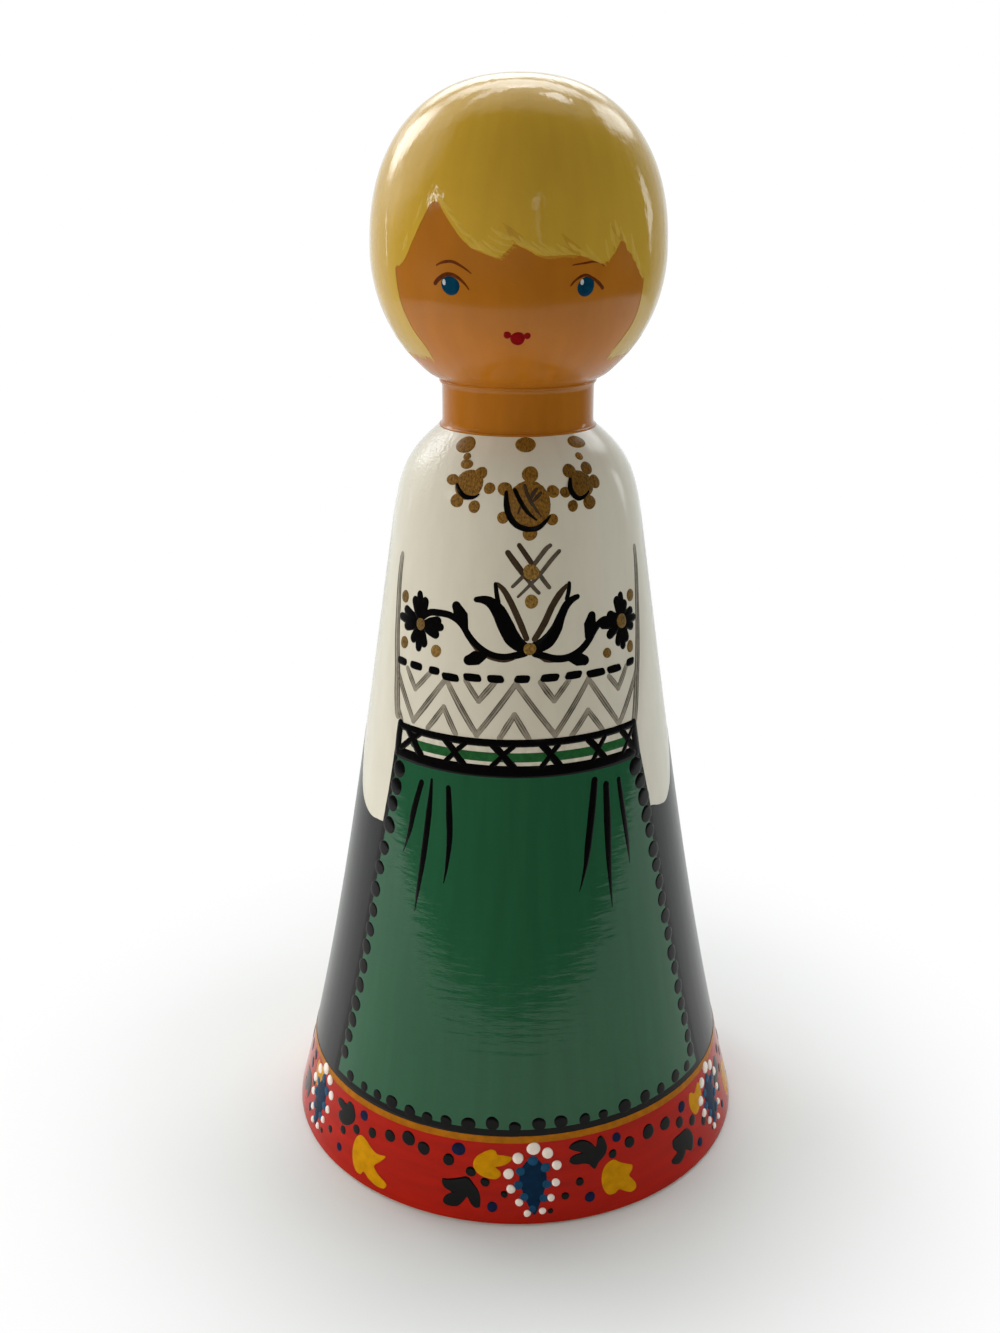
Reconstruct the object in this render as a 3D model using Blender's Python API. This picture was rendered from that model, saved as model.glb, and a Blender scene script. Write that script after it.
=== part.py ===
"""Free-standing turned wooden doll: a coned body, a collar neck and a ball head on one dowel.

Units are metres. The doll stands on Z = 0, its turning axis is Z and its painted face looks along -Y.
Every piece is modelled with its own lower face at Z = 0 and placed by its location.
"""
import math

import bmesh
import bpy

# Body: a cone with slightly hollow sides and round shoulders
HEM_RADIUS = 0.0682
SHOULDER_RADIUS = 0.0346
BODY_HEIGHT = 0.2113
SHOULDER_RISE = 0.0253
HEM_SLOPE = 0.255            # inward run of the side for each unit of height, at the hem
CHEST_SLOPE = 0.152          # the same where the shoulders begin
COLLAR_SLOPE = 1.25          # the same where the shoulders reach the neck
SHOULDER_LOWER_PULL = 0.53   # how far up the rise the side carries on before it turns in
SHOULDER_UPPER_PULL = 0.28   # how far down from the neck the collar slope carries on
HEM_EDGE_ROUND = 0.0010

# Underside: a foot ring round a shallow turned recess, with the mark of the lathe's centre
FOOT_WIDTH = 0.0110
RECESS_DEPTH = 0.0025
CENTRE_MARK_RADIUS = 0.0030

# Neck: a collar with a small cove at each end
NECK_RADIUS = 0.0206
NECK_HEIGHT = 0.0117
NECK_COVE = 0.0006
NECK_COVE_HEIGHT = 0.0016
COLLAR_LEDGE = 0.0002        # flat of the body left showing round the neck

# Head: a ball that is a little squarer above its widest line than below it
HEAD_RADIUS = 0.0390
CROWN_HEIGHT = 0.0430
CHIN_BALL_DEPTH = 0.0400
CROWN_SQUARENESS = 2.28      # 2 is an ellipse
CHIN_OVERHANG = 0.0008       # head's lower rim beyond the neck's plain radius
RIM_ROUND = 0.0005

# Dowel and its sockets
DOWEL_RADIUS = 0.0060
DOWEL_CHAMFER = 0.0010
BODY_SOCKET_DEPTH = 0.0400
HEAD_SOCKET_DEPTH = 0.0260
SOCKET_COUNTERSINK = 0.0008
DRILL_POINT_ANGLE = math.radians(118.0)
LATHE_POINT_ANGLE = math.radians(60.0)
FLUTE_COUNT = 14
FLUTE_DEPTH = 0.0004
FLUTE_SHARE = 0.4            # part of each pitch that the groove takes

# Clearances
SEAT_GAP = 0.0003            # between the faces that are glued end to end
DOWEL_FIT = 0.0003           # round the dowel
DOWEL_END_GAP = 0.0008       # past each end of the dowel

# Fineness of the turned surfaces
TURN_STEPS = 72
SIDE_STEPS = 12
SHOULDER_STEPS = 10
CROWN_STEPS = 14
CHIN_STEPS = 12
ROUND_STEPS = 3
SHARP_ANGLE = math.radians(30.0)
MERGE_DISTANCE = 0.00001

# Places that follow from the sizes above
SHOULDER_HEIGHT = BODY_HEIGHT - SHOULDER_RISE
NECK_END_RADIUS = NECK_RADIUS + NECK_COVE
SEAT_RADIUS = NECK_END_RADIUS + COLLAR_LEDGE
CHIN_RADIUS = NECK_RADIUS + CHIN_OVERHANG
CHIN_TURN = math.acos(CHIN_RADIUS / HEAD_RADIUS)
CHIN_DEPTH = CHIN_BALL_DEPTH * math.sin(CHIN_TURN)
SOCKET_RADIUS = DOWEL_RADIUS + DOWEL_FIT
NECK_BASE = BODY_HEIGHT + SEAT_GAP
HEAD_BASE = NECK_BASE + NECK_HEIGHT + SEAT_GAP
DOWEL_BASE = BODY_HEIGHT - BODY_SOCKET_DEPTH + DOWEL_END_GAP
DOWEL_LENGTH = HEAD_BASE + HEAD_SOCKET_DEPTH - DOWEL_END_GAP - DOWEL_BASE


def clear_scene():
    """Start from an empty scene."""
    for old in list(bpy.data.objects):
        bpy.data.objects.remove(old, do_unlink=True)


def finish_material(name, colour, roughness):
    """Return a plain dielectric material with the given linear colour."""
    material = bpy.data.materials.new(name)
    material.use_nodes = True
    shader = material.node_tree.nodes["Principled BSDF"]
    shader.inputs["Base Color"].default_value = (*colour, 1.0)
    shader.inputs["Roughness"].default_value = roughness
    shader.inputs["Metallic"].default_value = 0.0
    return material


def bezier(start, pull_a, pull_b, end, steps):
    """Points of a cubic curve, both ends included, as (radius, height) pairs."""
    points = []
    for i in range(steps + 1):
        t = i / steps
        s = 1.0 - t
        weights = (s * s * s, 3.0 * s * s * t, 3.0 * s * t * t, t * t * t)
        corners = (start, pull_a, pull_b, end)
        points.append(tuple(sum(w * c[k] for w, c in zip(weights, corners)) for k in (0, 1)))
    return points


def quarter_round(centre, radius, from_angle):
    """Points of a quarter circle turning clockwise from the given angle, both ends included."""
    angles = [from_angle - math.pi / 2.0 * i / ROUND_STEPS for i in range(ROUND_STEPS + 1)]
    return [(centre[0] + radius * math.cos(a), centre[1] + radius * math.sin(a)) for a in angles]


def drilled_socket(mouth_height, depth, direction):
    """Outline of a blind drilled socket from the tip of the drill to the countersunk mouth.

    direction is +1 for a socket that opens upward and -1 for one that opens downward.
    """
    floor = mouth_height - direction * depth
    tip = floor - direction * SOCKET_RADIUS / math.tan(DRILL_POINT_ANGLE / 2.0)
    return [
        (0.0, tip),
        (SOCKET_RADIUS, floor),
        (SOCKET_RADIUS, mouth_height - direction * SOCKET_COUNTERSINK),
        (SOCKET_RADIUS + SOCKET_COUNTERSINK, mouth_height),
    ]


def body_outline():
    """Half section of the body, down its outer side from the socket to the lathe mark."""
    shoulder_low = (SHOULDER_RADIUS, SHOULDER_HEIGHT)
    seat_edge = (SEAT_RADIUS, BODY_HEIGHT)
    lower_pull = SHOULDER_LOWER_PULL * SHOULDER_RISE
    upper_pull = SHOULDER_UPPER_PULL * SHOULDER_RISE
    shoulder = bezier(
        seat_edge,
        (SEAT_RADIUS + COLLAR_SLOPE * upper_pull, BODY_HEIGHT - upper_pull),
        (SHOULDER_RADIUS - CHEST_SLOPE * lower_pull, SHOULDER_HEIGHT + lower_pull),
        shoulder_low,
        SHOULDER_STEPS,
    )
    third = SHOULDER_HEIGHT / 3.0
    side = bezier(
        shoulder_low,
        (SHOULDER_RADIUS + CHEST_SLOPE * third, SHOULDER_HEIGHT - third),
        (HEM_RADIUS - HEM_SLOPE * third, third),
        (HEM_RADIUS, HEM_EDGE_ROUND),
        SIDE_STEPS,
    )
    hem_edge = quarter_round((HEM_RADIUS - HEM_EDGE_ROUND, HEM_EDGE_ROUND), HEM_EDGE_ROUND, 0.0)
    foot_inner = HEM_RADIUS - FOOT_WIDTH
    mark_depth = CENTRE_MARK_RADIUS / math.tan(LATHE_POINT_ANGLE / 2.0)
    underside = [
        (foot_inner, 0.0),
        (foot_inner - RECESS_DEPTH, RECESS_DEPTH),
        (CENTRE_MARK_RADIUS, RECESS_DEPTH),
        (0.0, RECESS_DEPTH + mark_depth),
    ]
    socket = drilled_socket(BODY_HEIGHT, BODY_SOCKET_DEPTH, 1)
    return socket + shoulder + side[1:] + hem_edge[1:] + underside


def neck_outline():
    """Closed half section of the collar, down its outer side and up its bore."""
    top_cove = []
    for i in range(ROUND_STEPS + 1):
        turn = math.pi / 2.0 * i / ROUND_STEPS
        radius = NECK_END_RADIUS - NECK_COVE * math.sin(turn)
        top_cove.append((radius, NECK_HEIGHT - NECK_COVE_HEIGHT * (1.0 - math.cos(turn))))
    low_cove = [(radius, NECK_HEIGHT - height) for radius, height in reversed(top_cove)]
    return [(SOCKET_RADIUS, NECK_HEIGHT)] + top_cove + low_cove + [(SOCKET_RADIUS, 0.0)]


def head_outline():
    """Half section of the head, down its outer side from the crown to the end of the socket."""
    power = 2.0 / CROWN_SQUARENESS
    crown = [(0.0, CHIN_DEPTH + CROWN_HEIGHT)]
    for i in range(1, CROWN_STEPS):
        turn = math.pi / 2.0 * (1.0 - i / CROWN_STEPS)
        radius = HEAD_RADIUS * math.cos(turn) ** power
        crown.append((radius, CHIN_DEPTH + CROWN_HEIGHT * math.sin(turn) ** power))
    chin = []
    for i in range(CHIN_STEPS + 1):
        turn = CHIN_TURN * i / CHIN_STEPS
        chin.append((HEAD_RADIUS * math.cos(turn), CHIN_DEPTH - CHIN_BALL_DEPTH * math.sin(turn)))
    rim_radius, rim_height = chin.pop()
    rim = [(rim_radius, rim_height + RIM_ROUND), (rim_radius - RIM_ROUND, rim_height)]
    socket = drilled_socket(0.0, HEAD_SOCKET_DEPTH, -1)
    return crown + chin + rim + socket[::-1]


def turned(name, outline, material, closed=False):
    """Spin a half section round Z into one closed solid with smooth round faces."""
    bm = bmesh.new()
    verts = [bm.verts.new((radius, 0.0, height)) for radius, height in outline]
    ends = verts[1:] + verts[:1] if closed else verts[1:]
    edges = [bm.edges.new(pair) for pair in zip(verts, ends)]
    bmesh.ops.spin(
        bm,
        geom=verts + edges,
        axis=(0.0, 0.0, 1.0),
        cent=(0.0, 0.0, 0.0),
        angle=math.tau,
        steps=TURN_STEPS,
        use_merge=True,
    )
    return solid_object(name, bm, material)


def fluted_ring(bm, radius, groove_radius, height):
    """One loop of vertices round a fluted dowel, with two on each land and one in each groove."""
    pitch = math.tau / FLUTE_COUNT
    half_land = pitch * (1.0 - FLUTE_SHARE) / 2.0
    ring = []
    for i in range(FLUTE_COUNT):
        for turn, reach in ((-half_land, radius), (half_land, radius), (pitch / 2.0, groove_radius)):
            angle = i * pitch + turn
            ring.append(bm.verts.new((reach * math.cos(angle), reach * math.sin(angle), height)))
    return ring


def fluted_dowel(name, material):
    """Straight dowel with glue flutes along it and a chamfer on each end."""
    bm = bmesh.new()
    stations = (
        (DOWEL_CHAMFER, 0.0),
        (0.0, DOWEL_CHAMFER),
        (0.0, DOWEL_LENGTH - DOWEL_CHAMFER),
        (DOWEL_CHAMFER, DOWEL_LENGTH),
    )
    groove_radius = DOWEL_RADIUS - FLUTE_DEPTH
    rings = [fluted_ring(bm, DOWEL_RADIUS - cut, groove_radius - cut, z) for cut, z in stations]
    for lower, upper in zip(rings, rings[1:]):
        for i, vert in enumerate(lower):
            after = (i + 1) % len(lower)
            bm.faces.new((vert, lower[after], upper[after], upper[i]))
    bm.faces.new(rings[0][::-1])
    bm.faces.new(rings[-1])
    return solid_object(name, bm, material)


def solid_object(name, bm, material):
    """Close and orient a mesh, then make it a named object with its material."""
    bmesh.ops.remove_doubles(bm, verts=bm.verts, dist=MERGE_DISTANCE)
    bmesh.ops.recalc_face_normals(bm, faces=bm.faces)
    mesh = bpy.data.meshes.new(name)
    bm.to_mesh(mesh)
    bm.free()
    mesh.shade_smooth()
    mesh.set_sharp_from_angle(angle=SHARP_ANGLE)
    mesh.materials.append(material)
    obj = bpy.data.objects.new(name, mesh)
    bpy.context.scene.collection.objects.link(obj)
    return obj


def build_doll():
    """Make the four pieces and stand them on one another under a common empty."""
    lacquered_white = finish_material("body_coat", (0.62, 0.58, 0.48), 0.25)
    lacquered_flesh = finish_material("neck_coat", (0.36, 0.14, 0.03), 0.25)
    lacquered_blond = finish_material("head_coat", (0.55, 0.37, 0.09), 0.22)
    bare_wood = finish_material("bare_wood", (0.55, 0.36, 0.18), 0.65)

    doll = bpy.data.objects.new("doll", None)
    bpy.context.scene.collection.objects.link(doll)
    pieces = (
        (turned("body", body_outline(), lacquered_white), 0.0),
        (turned("neck", neck_outline(), lacquered_flesh, closed=True), NECK_BASE),
        (turned("head", head_outline(), lacquered_blond), HEAD_BASE),
        (fluted_dowel("neck_dowel", bare_wood), DOWEL_BASE),
    )
    for piece, height in pieces:
        piece.parent = doll
        piece.location = (0.0, 0.0, height)


clear_scene()
build_doll()
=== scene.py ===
"""Looks of a turned wooden doll: lacquered coats and hand-painted costume over the turned blanks.

Paint is modelled as what it is: thin coats with edges, domed brush strokes and raised dots.
A place on the doll is (turn, height): degrees round the axis from the front, positive to the viewer's
right, and millimetres above the floor. Sizes are in millimetres unless a comment says otherwise.
"""
import math
import random

import bmesh
import bpy
import numpy as np
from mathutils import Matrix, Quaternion, Vector


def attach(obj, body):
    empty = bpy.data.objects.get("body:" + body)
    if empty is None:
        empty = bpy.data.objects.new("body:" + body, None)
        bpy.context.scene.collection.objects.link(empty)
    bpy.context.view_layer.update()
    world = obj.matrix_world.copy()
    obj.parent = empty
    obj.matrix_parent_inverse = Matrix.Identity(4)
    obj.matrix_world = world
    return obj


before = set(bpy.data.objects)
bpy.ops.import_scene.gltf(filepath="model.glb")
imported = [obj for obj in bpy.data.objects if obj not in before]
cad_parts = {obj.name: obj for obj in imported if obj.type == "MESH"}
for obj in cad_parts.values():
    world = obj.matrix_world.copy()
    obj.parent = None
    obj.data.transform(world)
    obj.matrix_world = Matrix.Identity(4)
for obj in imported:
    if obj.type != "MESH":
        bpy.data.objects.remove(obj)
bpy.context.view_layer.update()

MM = 0.001
brush = random.Random(11)

# Heights of the paint layers above the wood
FIRST_COAT = 0.06
SKIRT_COAT = 0.10
HEM_COAT = 0.13
MEDALLION_DOT_COAT = 0.19
APRON_EDGE_COAT = 0.13
APRON_COAT = 0.17
BELT_COAT = 0.17
BELT_LINE_COAT = 0.22
FLOWER_DOT_COAT = 0.10
CHAIN_COAT = 0.11
HAIR_COAT = 0.14
BANG_END_COAT = 0.10
BOB_END_COAT = 0.09
LID_COAT = 0.11
GLINT_COAT = 0.18
COAT_DEPTH = 0.09  # how far a coat's underside lies below its top
SINK = 0.04  # how far a stroke's edge dips into what it is painted on

# Rise of the brush strokes and dots
STROKE_RISE = 0.07
SHADE_RISE = 0.05
STREAK_RISE = 0.03
PARTING_RISE = 0.02
DOT_RISE = 0.16
GLINT_RISE = 0.08
BLOB_RISE = 0.1
PEARL_RISE = 0.55

# Fineness of the meshes
OUTLINE_STEP = 0.25
EDGE_STEP = 0.6
STROKE_STEP = 0.4
DOT_SIDES = 22
SHARP_ANGLE = math.radians(40.0)
WELD = 1e-7  # points nearer than this become one, metres
OUTWARD_LEAST = 0.01  # a face turned less than this away from the axis isn't on the outer side


# Turned surfaces

def outer_rings(name):
    """(radius, height) of the rings on a turned node's outer side, lowest first."""
    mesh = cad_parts[name].data
    rings = set()
    for face in mesh.polygons:
        middle = face.center
        outward = face.normal.x * middle.x + face.normal.y * middle.y
        if outward <= OUTWARD_LEAST * math.hypot(middle.x, middle.y):
            continue
        for index in face.vertices:
            x, y, z = mesh.vertices[index].co
            rings.add((round(z / MM, 2), round(math.hypot(x, y) / MM, 2)))
    return [(radius, height) for height, radius in sorted(rings)]


def smooth_line(points, step):
    """Dense points on a smooth curve through the given ones, and where the given ones are among them."""
    points = np.asarray(points, float)
    chords = np.diff(points, axis=0)
    gaps = np.linalg.norm(chords, axis=1)
    slopes = chords / gaps[:, None]
    tangents = np.empty_like(points)
    tangents[1:-1] = (chords[:-1] + chords[1:]) / (gaps[:-1] + gaps[1:])[:, None]
    if len(points) == 2:
        tangents[:] = slopes[0]
    else:
        tangents[0] = 2.0 * slopes[0] - tangents[1]
        tangents[-1] = 2.0 * slopes[-1] - tangents[-2]
    dense = []
    marks = [0]
    for i, gap in enumerate(gaps):
        count = max(1, math.ceil(gap / step))
        t = (np.arange(count) / count)[:, None]
        marks.append(marks[-1] + count)
        dense.append(
            (2 * t**3 - 3 * t**2 + 1) * points[i]
            + (t**3 - 2 * t**2 + t) * gap * tangents[i]
            + (3 * t**2 - 2 * t**3) * points[i + 1]
            + (t**3 - t**2) * gap * tangents[i + 1]
        )
    dense.append(points[-1:])
    return np.concatenate(dense), marks


class Skin:
    """Smooth turned surface through the rings of a CAD node's outer side."""

    def __init__(self, node):
        line, _ = smooth_line(outer_rings(node), OUTLINE_STEP)
        self.radius, self.height = line.T
        steps = np.hypot(*np.diff(line, axis=0).T)
        self.length = np.concatenate(([0.0], np.cumsum(steps)))
        across = np.gradient(self.radius, self.length)
        upward = np.gradient(self.height, self.length)
        size = np.hypot(across, upward)
        self.out_radius = upward / size
        self.out_height = -across / size

    def up(self, height):
        """Distance up the side to a height."""
        return np.interp(height, self.height, self.length)

    def degree(self, length):
        """Width of one degree of turn."""
        return np.radians(1.0) * np.interp(length, self.length, self.radius)

    def place(self, turn, length, lift):
        """Points that stand a little off the surface."""
        radius = np.interp(length, self.length, self.radius)
        radius = radius + lift * np.interp(length, self.length, self.out_radius)
        height = np.interp(length, self.length, self.height)
        height = np.maximum(0.0, height + lift * np.interp(length, self.length, self.out_height))
        angle = np.radians(turn)
        return np.stack((radius * np.sin(angle), -radius * np.cos(angle), height), axis=-1)


body = Skin("body")
neck = Skin("neck")
head = Skin("head")


# Paint shapes

class Paint:
    """Closed shapes of one paint, collected into one mesh."""

    def __init__(self):
        self.points = []
        self.faces = []

    def add(self, points, faces):
        """Add one closed shape, in millimetres."""
        start = len(self.points)
        self.points.extend(map(tuple, np.asarray(points).reshape(-1, 3) * MM))
        self.faces.extend([start + i for i in face] for face in faces)

    def piece(self, name, paint, slot="body_lacquer"):
        """Make the collected shapes one object that rides on the doll."""
        mesh = bpy.data.meshes.new(name)
        mesh.from_pydata(self.points, [], self.faces)
        bm = bmesh.new()
        bm.from_mesh(mesh)
        bmesh.ops.remove_doubles(bm, verts=bm.verts, dist=WELD)
        bmesh.ops.recalc_face_normals(bm, faces=bm.faces)
        bm.to_mesh(mesh)
        bm.free()
        mesh.shade_smooth()
        mesh.set_sharp_from_angle(angle=SHARP_ANGLE)
        mesh.materials.append(paints[paint])
        obj = bpy.data.objects.new(name, mesh)
        bpy.context.scene.collection.objects.link(obj)
        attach(obj, "root")


def paint_piece(name, paint, shape, *layer, slot="body_lacquer", **more):
    """Make one piece of a paint from one call of coat, strokes or dots."""
    made = Paint()
    shape(made, *layer, **more)
    made.piece(name, paint, slot)


# Section of a brush stroke between its sunk edges: share of the half width, share of the rise
STROKE_SECTION = ((-0.82, 0.62), (-0.45, 0.92), (0.0, 1.0), (0.45, 0.92), (0.82, 0.62))
CAP_TURNS = np.radians((90.0, 66.0, 42.0, 20.0))
HIDDEN_EDGE = 1.1  # the outer tenth of a stroke is sunk out of sight
FULL_RISE_WIDTH = 1.2  # narrower strokes are lower too


def flat_path(skin, path):
    """A path of (turn, height) places laid flat, in millimetres, and the width of a degree on it."""
    turns, heights = np.asarray(path, float).T
    lengths = skin.up(heights)
    degree = skin.degree(lengths.mean())
    return np.stack((turns * degree, lengths), axis=1), degree


def tube_faces(stations, loop):
    """Faces of a closed loop of points carried along a row of stations."""
    faces = []
    for i in range(stations - 1):
        for k in range(loop):
            after = (k + 1) % loop
            faces.append((i * loop + k, i * loop + after, (i + 1) * loop + after, (i + 1) * loop + k))
    return faces


def stroke(paint, skin, path, width, base=FIRST_COAT, rise=STROKE_RISE):
    """Add one brush stroke: a domed ribbon with round ends. width is one value or one for each place."""
    flat, degree = flat_path(skin, path)
    line, marks = smooth_line(flat, STROKE_STEP)
    widths = np.broadcast_to(width, len(marks))
    half = np.interp(np.arange(len(line)), marks, widths) / 2.0 * HIDDEN_EDGE
    ahead = np.gradient(line, axis=0)
    ahead /= np.linalg.norm(ahead, axis=1)[:, None]
    first_cap = line[0] - np.outer(np.sin(CAP_TURNS) * half[0], ahead[0])
    last_cap = line[-1] + np.outer(np.sin(CAP_TURNS[::-1]) * half[-1], ahead[-1])
    centre = np.concatenate((first_cap, line, last_cap))
    cap = len(CAP_TURNS)
    ahead = np.concatenate((ahead[:1].repeat(cap, 0), ahead, ahead[-1:].repeat(cap, 0)))
    half = np.concatenate((half[0] * np.cos(CAP_TURNS), half, half[-1] * np.cos(CAP_TURNS[::-1])))
    side = np.stack((-ahead[:, 1], ahead[:, 0]), axis=1)
    lift = rise * np.minimum(1.0, 2.0 * half / FULL_RISE_WIDTH)
    edge = base - SINK
    rows = [(-1.0, edge), *((share, base + high * lift) for share, high in STROKE_SECTION), (1.0, edge)]
    points = []
    for share, lifts in rows:
        spot = centre + side * (share * half)[:, None]
        points.append(skin.place(spot[:, 0] / degree, spot[:, 1], lifts))
    points = np.stack(points, axis=1)
    paint.add(points, tube_faces(*points.shape[:2]))


def strokes(paint, skin, rows, base=FIRST_COAT, rise=STROKE_RISE):
    """Add a stroke for each (path, width)."""
    for path, width in rows:
        stroke(paint, skin, path, width, base, rise)


# Half section of a dot or blob, from the rim in: share of its reach, share of the rise
DOME_SECTION = ((0.96, 0.30), (0.82, 0.62), (0.58, 0.86), (0.28, 0.97))
DOT_RIM = 1.06  # a dot's rim lies this much outside its visible edge
DOT_WAVES = ((2.0, 0.035), (3.0, 0.02))  # how it is out of round: bumps, and their share of its radius


def dome(paint, skin, middle, rim, base, rise):
    """Add a low dome. middle and the rim's points are laid flat, in degrees and millimetres of length."""
    count = len(rim)
    rings = [(1.0, base - SINK)]
    rings += [(share, base + high * rise) for share, high in DOME_SECTION]
    points = [skin.place(*(middle + (rim - middle) * share).T, lift) for share, lift in rings]
    points += [skin.place(*middle[:, None], lift) for lift in (base + rise, base - SINK)]
    faces = []
    top = len(rings) * count
    for k in range(count):
        after = (k + 1) % count
        for low in range(0, top - count, count):
            faces.append((low + k, low + after, low + count + after, low + count + k))
        faces.append((top - count + k, top - count + after, top))
        faces.append((after, k, top + 1))
    paint.add(np.concatenate(points), faces)


def dot(paint, skin, turn, height, radius, base=FIRST_COAT, rise=DOT_RISE):
    """Add one dot of paint, a little out of round. radius is one value or (wide, tall)."""
    wide, tall = np.broadcast_to(radius, 2) * DOT_RIM
    length = skin.up(height)
    angle = np.arange(DOT_SIDES) * math.tau / DOT_SIDES
    wobble = 1.0
    for bumps, share in DOT_WAVES:
        wobble = wobble + share * np.cos(bumps * angle + brush.uniform(0.0, math.tau))
    turns = turn + wobble * wide * np.cos(angle) / skin.degree(length)
    lengths = length + wobble * tall * np.sin(angle)
    dome(paint, skin, np.array([turn, length]), np.stack((turns, lengths), axis=1), base, rise)


def dots(paint, skin, rows, base=FIRST_COAT, rise=DOT_RISE):
    """Add a dot for each (turn, height, radius)."""
    for turn, height, radius in rows:
        dot(paint, skin, turn, height, radius, base, rise)


def blob(paint, skin, outline, base, rise, middle=None):
    """Add a flat blob of paint inside a smooth closed outline of places, all seen from its middle."""
    ring = list(outline[-2:]) + list(outline) + list(outline[:2])
    flat, degree = flat_path(skin, ring)
    line, marks = smooth_line(flat, STROKE_STEP)
    rim = line[marks[2]:marks[-2]] / (degree, 1.0)
    middle = rim.mean(axis=0) if middle is None else np.array([middle[0], skin.up(middle[1])])
    dome(paint, skin, middle, rim, base, rise)


# Coats
ALL_ROUND = (-180.0, 180.0)
WIDTH_SAMPLES = 50  # heights at which the widest place of a coat is looked for
EDGE_LEAST = 0.06  # share of the spacing that the edge keeps from the mesh's corners


def region(skin, outline):
    """A function that gives how far a place is inside a closed outline, in millimetres."""
    flat, degree = flat_path(skin, outline)

    def inside(turn, length):
        x, y = turn * degree, length
        nearest = np.full(x.shape, np.inf)
        within = np.zeros(x.shape, bool)
        for (x0, y0), (x1, y1) in zip(flat, np.roll(flat, -1, axis=0)):
            run, climb = x1 - x0, y1 - y0
            share = ((x - x0) * run + (y - y0) * climb) / (run * run + climb * climb)
            share = np.clip(share, 0.0, 1.0)
            nearest = np.minimum(nearest, np.hypot(x - x0 - share * run, y - y0 - share * climb))
            if climb:
                within ^= ((y0 > y) != (y1 > y)) & (x < x0 + run * (y - y0) / climb)
        return np.where(within, nearest, -nearest)

    return inside


def everywhere(turn, length):
    """A coat's inside function for a coat with no edge of its own."""
    return np.ones(turn.shape)


def coat(paint, skin, inside, heights, top, spacing, turns=ALL_ROUND):
    """Add a thin coat over the part of the skin where inside is positive, cut off cleanly at its edge."""
    low, high = skin.up(heights)
    rows = math.ceil((high - low) / spacing)
    widest = skin.degree(np.linspace(low, high, WIDTH_SAMPLES)).max()
    columns = math.ceil((turns[1] - turns[0]) * widest / spacing)
    turn, length = np.meshgrid(np.linspace(*turns, columns + 1), np.linspace(low, high, rows + 1))
    field = inside(turn, length)
    least = EDGE_LEAST * spacing
    field = np.where(np.abs(field) < least, least, field)
    closed = turns == ALL_ROUND
    if closed:
        field[:, -1] = field[:, 0]
    places = {}
    faces = []

    def key(i, j):
        return (i, j % columns if closed else j)

    def corner(at):
        return places.setdefault(key(*at), (len(places), turn[at], length[at]))[0]

    def cut(a, b):
        a, b = sorted((a, b))
        share = field[a] / (field[a] - field[b])
        spot = [grid[a] * (1.0 - share) + grid[b] * share for grid in (turn, length)]
        return places.setdefault((key(*a), key(*b)), (len(places), *spot))[0]

    filled = field > 0.0
    for i in range(rows):
        for j in range(columns):
            ring = ((i, j), (i, j + 1), (i + 1, j + 1), (i + 1, j))
            face = []
            for at, after in zip(ring, ring[1:] + ring[:1]):
                if filled[at]:
                    face.append(corner(at))
                if filled[at] != filled[after]:
                    face.append(cut(at, after))
            if face:
                faces.append(face)
    spots = np.array([spot[1:] for spot in places.values()])
    count = len(spots)
    upper = skin.place(*spots.T, top)
    lower = skin.place(*spots.T, top - COAT_DEPTH)
    edges = {(a, b) for face in faces for a, b in zip(face, face[1:] + face[:1])}
    walls = [(b, a, a + count, b + count) for a, b in edges if (b, a) not in edges]
    under = [[i + count for i in reversed(face)] for face in faces]
    paint.add(np.concatenate((upper, lower)), faces + under + sorted(walls))


# Shader nodes

def add_node(tree, kind, links=(), **settings):
    """Add a shader node. links is {input: value or output socket}."""
    node = tree.nodes.new("ShaderNode" + kind)
    for key, value in settings.items():
        setattr(node, key, value)
    for key, value in dict(links).items():
        if isinstance(value, bpy.types.NodeSocket):
            tree.links.new(value, node.inputs[key])
        else:
            node.inputs[key].default_value = value
    return node


def object_place(tree):
    """The place on a piece, in metres."""
    return add_node(tree, "TexCoord").outputs["Object"]


def number_math(tree, operation, first, second):
    """Result of one step of maths on two numbers."""
    return add_node(tree, "Math", {0: first, 1: second}, operation=operation).outputs[0]


def vector_math(tree, operation, *inputs):
    """Result of one step of vector maths."""
    node = add_node(tree, "VectorMath", dict(enumerate(inputs)), operation=operation)
    return node.outputs["Value" if operation in ("DOT_PRODUCT", "LENGTH") else "Vector"]


def ranged(tree, value, start, end, low=0.0, high=1.0, ease="SMOOTHSTEP"):
    """A value between start and end carried to between low and high."""
    links = {"Value": value, "From Min": start, "From Max": end, "To Min": low, "To Max": high}
    return add_node(tree, "MapRange", links, interpolation_type=ease).outputs["Result"]


def noise(tree, place, scale, detail):
    """Soft random shades between 0 and 1."""
    return add_node(tree, "TexNoise", {"Vector": place, "Scale": scale, "Detail": detail}).outputs["Fac"]


def mixed_colour(tree, share, first, second, blend_type="MIX"):
    """Two colours mixed by a share."""
    links = {"Factor": share, 6: first, 7: second}
    return add_node(tree, "Mix", links, data_type="RGBA", blend_type=blend_type).outputs[2]


def lathe_coordinates(tree, round_scale, up_scale):
    """Coordinates that follow the turned form: the direction from the axis and the height, scaled."""
    place = object_place(tree)
    unit = vector_math(tree, "NORMALIZE", vector_math(tree, "MULTIPLY", place, (1.0, 1.0, 0.0)))
    wide = vector_math(tree, "MULTIPLY", unit, (round_scale, round_scale, 1.0))
    tall = vector_math(tree, "MULTIPLY", place, (0.0, 0.0, up_scale))
    return vector_math(tree, "ADD", wide, tall)


def new_material(name):
    """A new material, its node tree and its shader."""
    material = bpy.data.materials.new(name)
    material.use_nodes = True
    tree = material.node_tree
    return material, tree, tree.nodes["Principled BSDF"]


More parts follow.
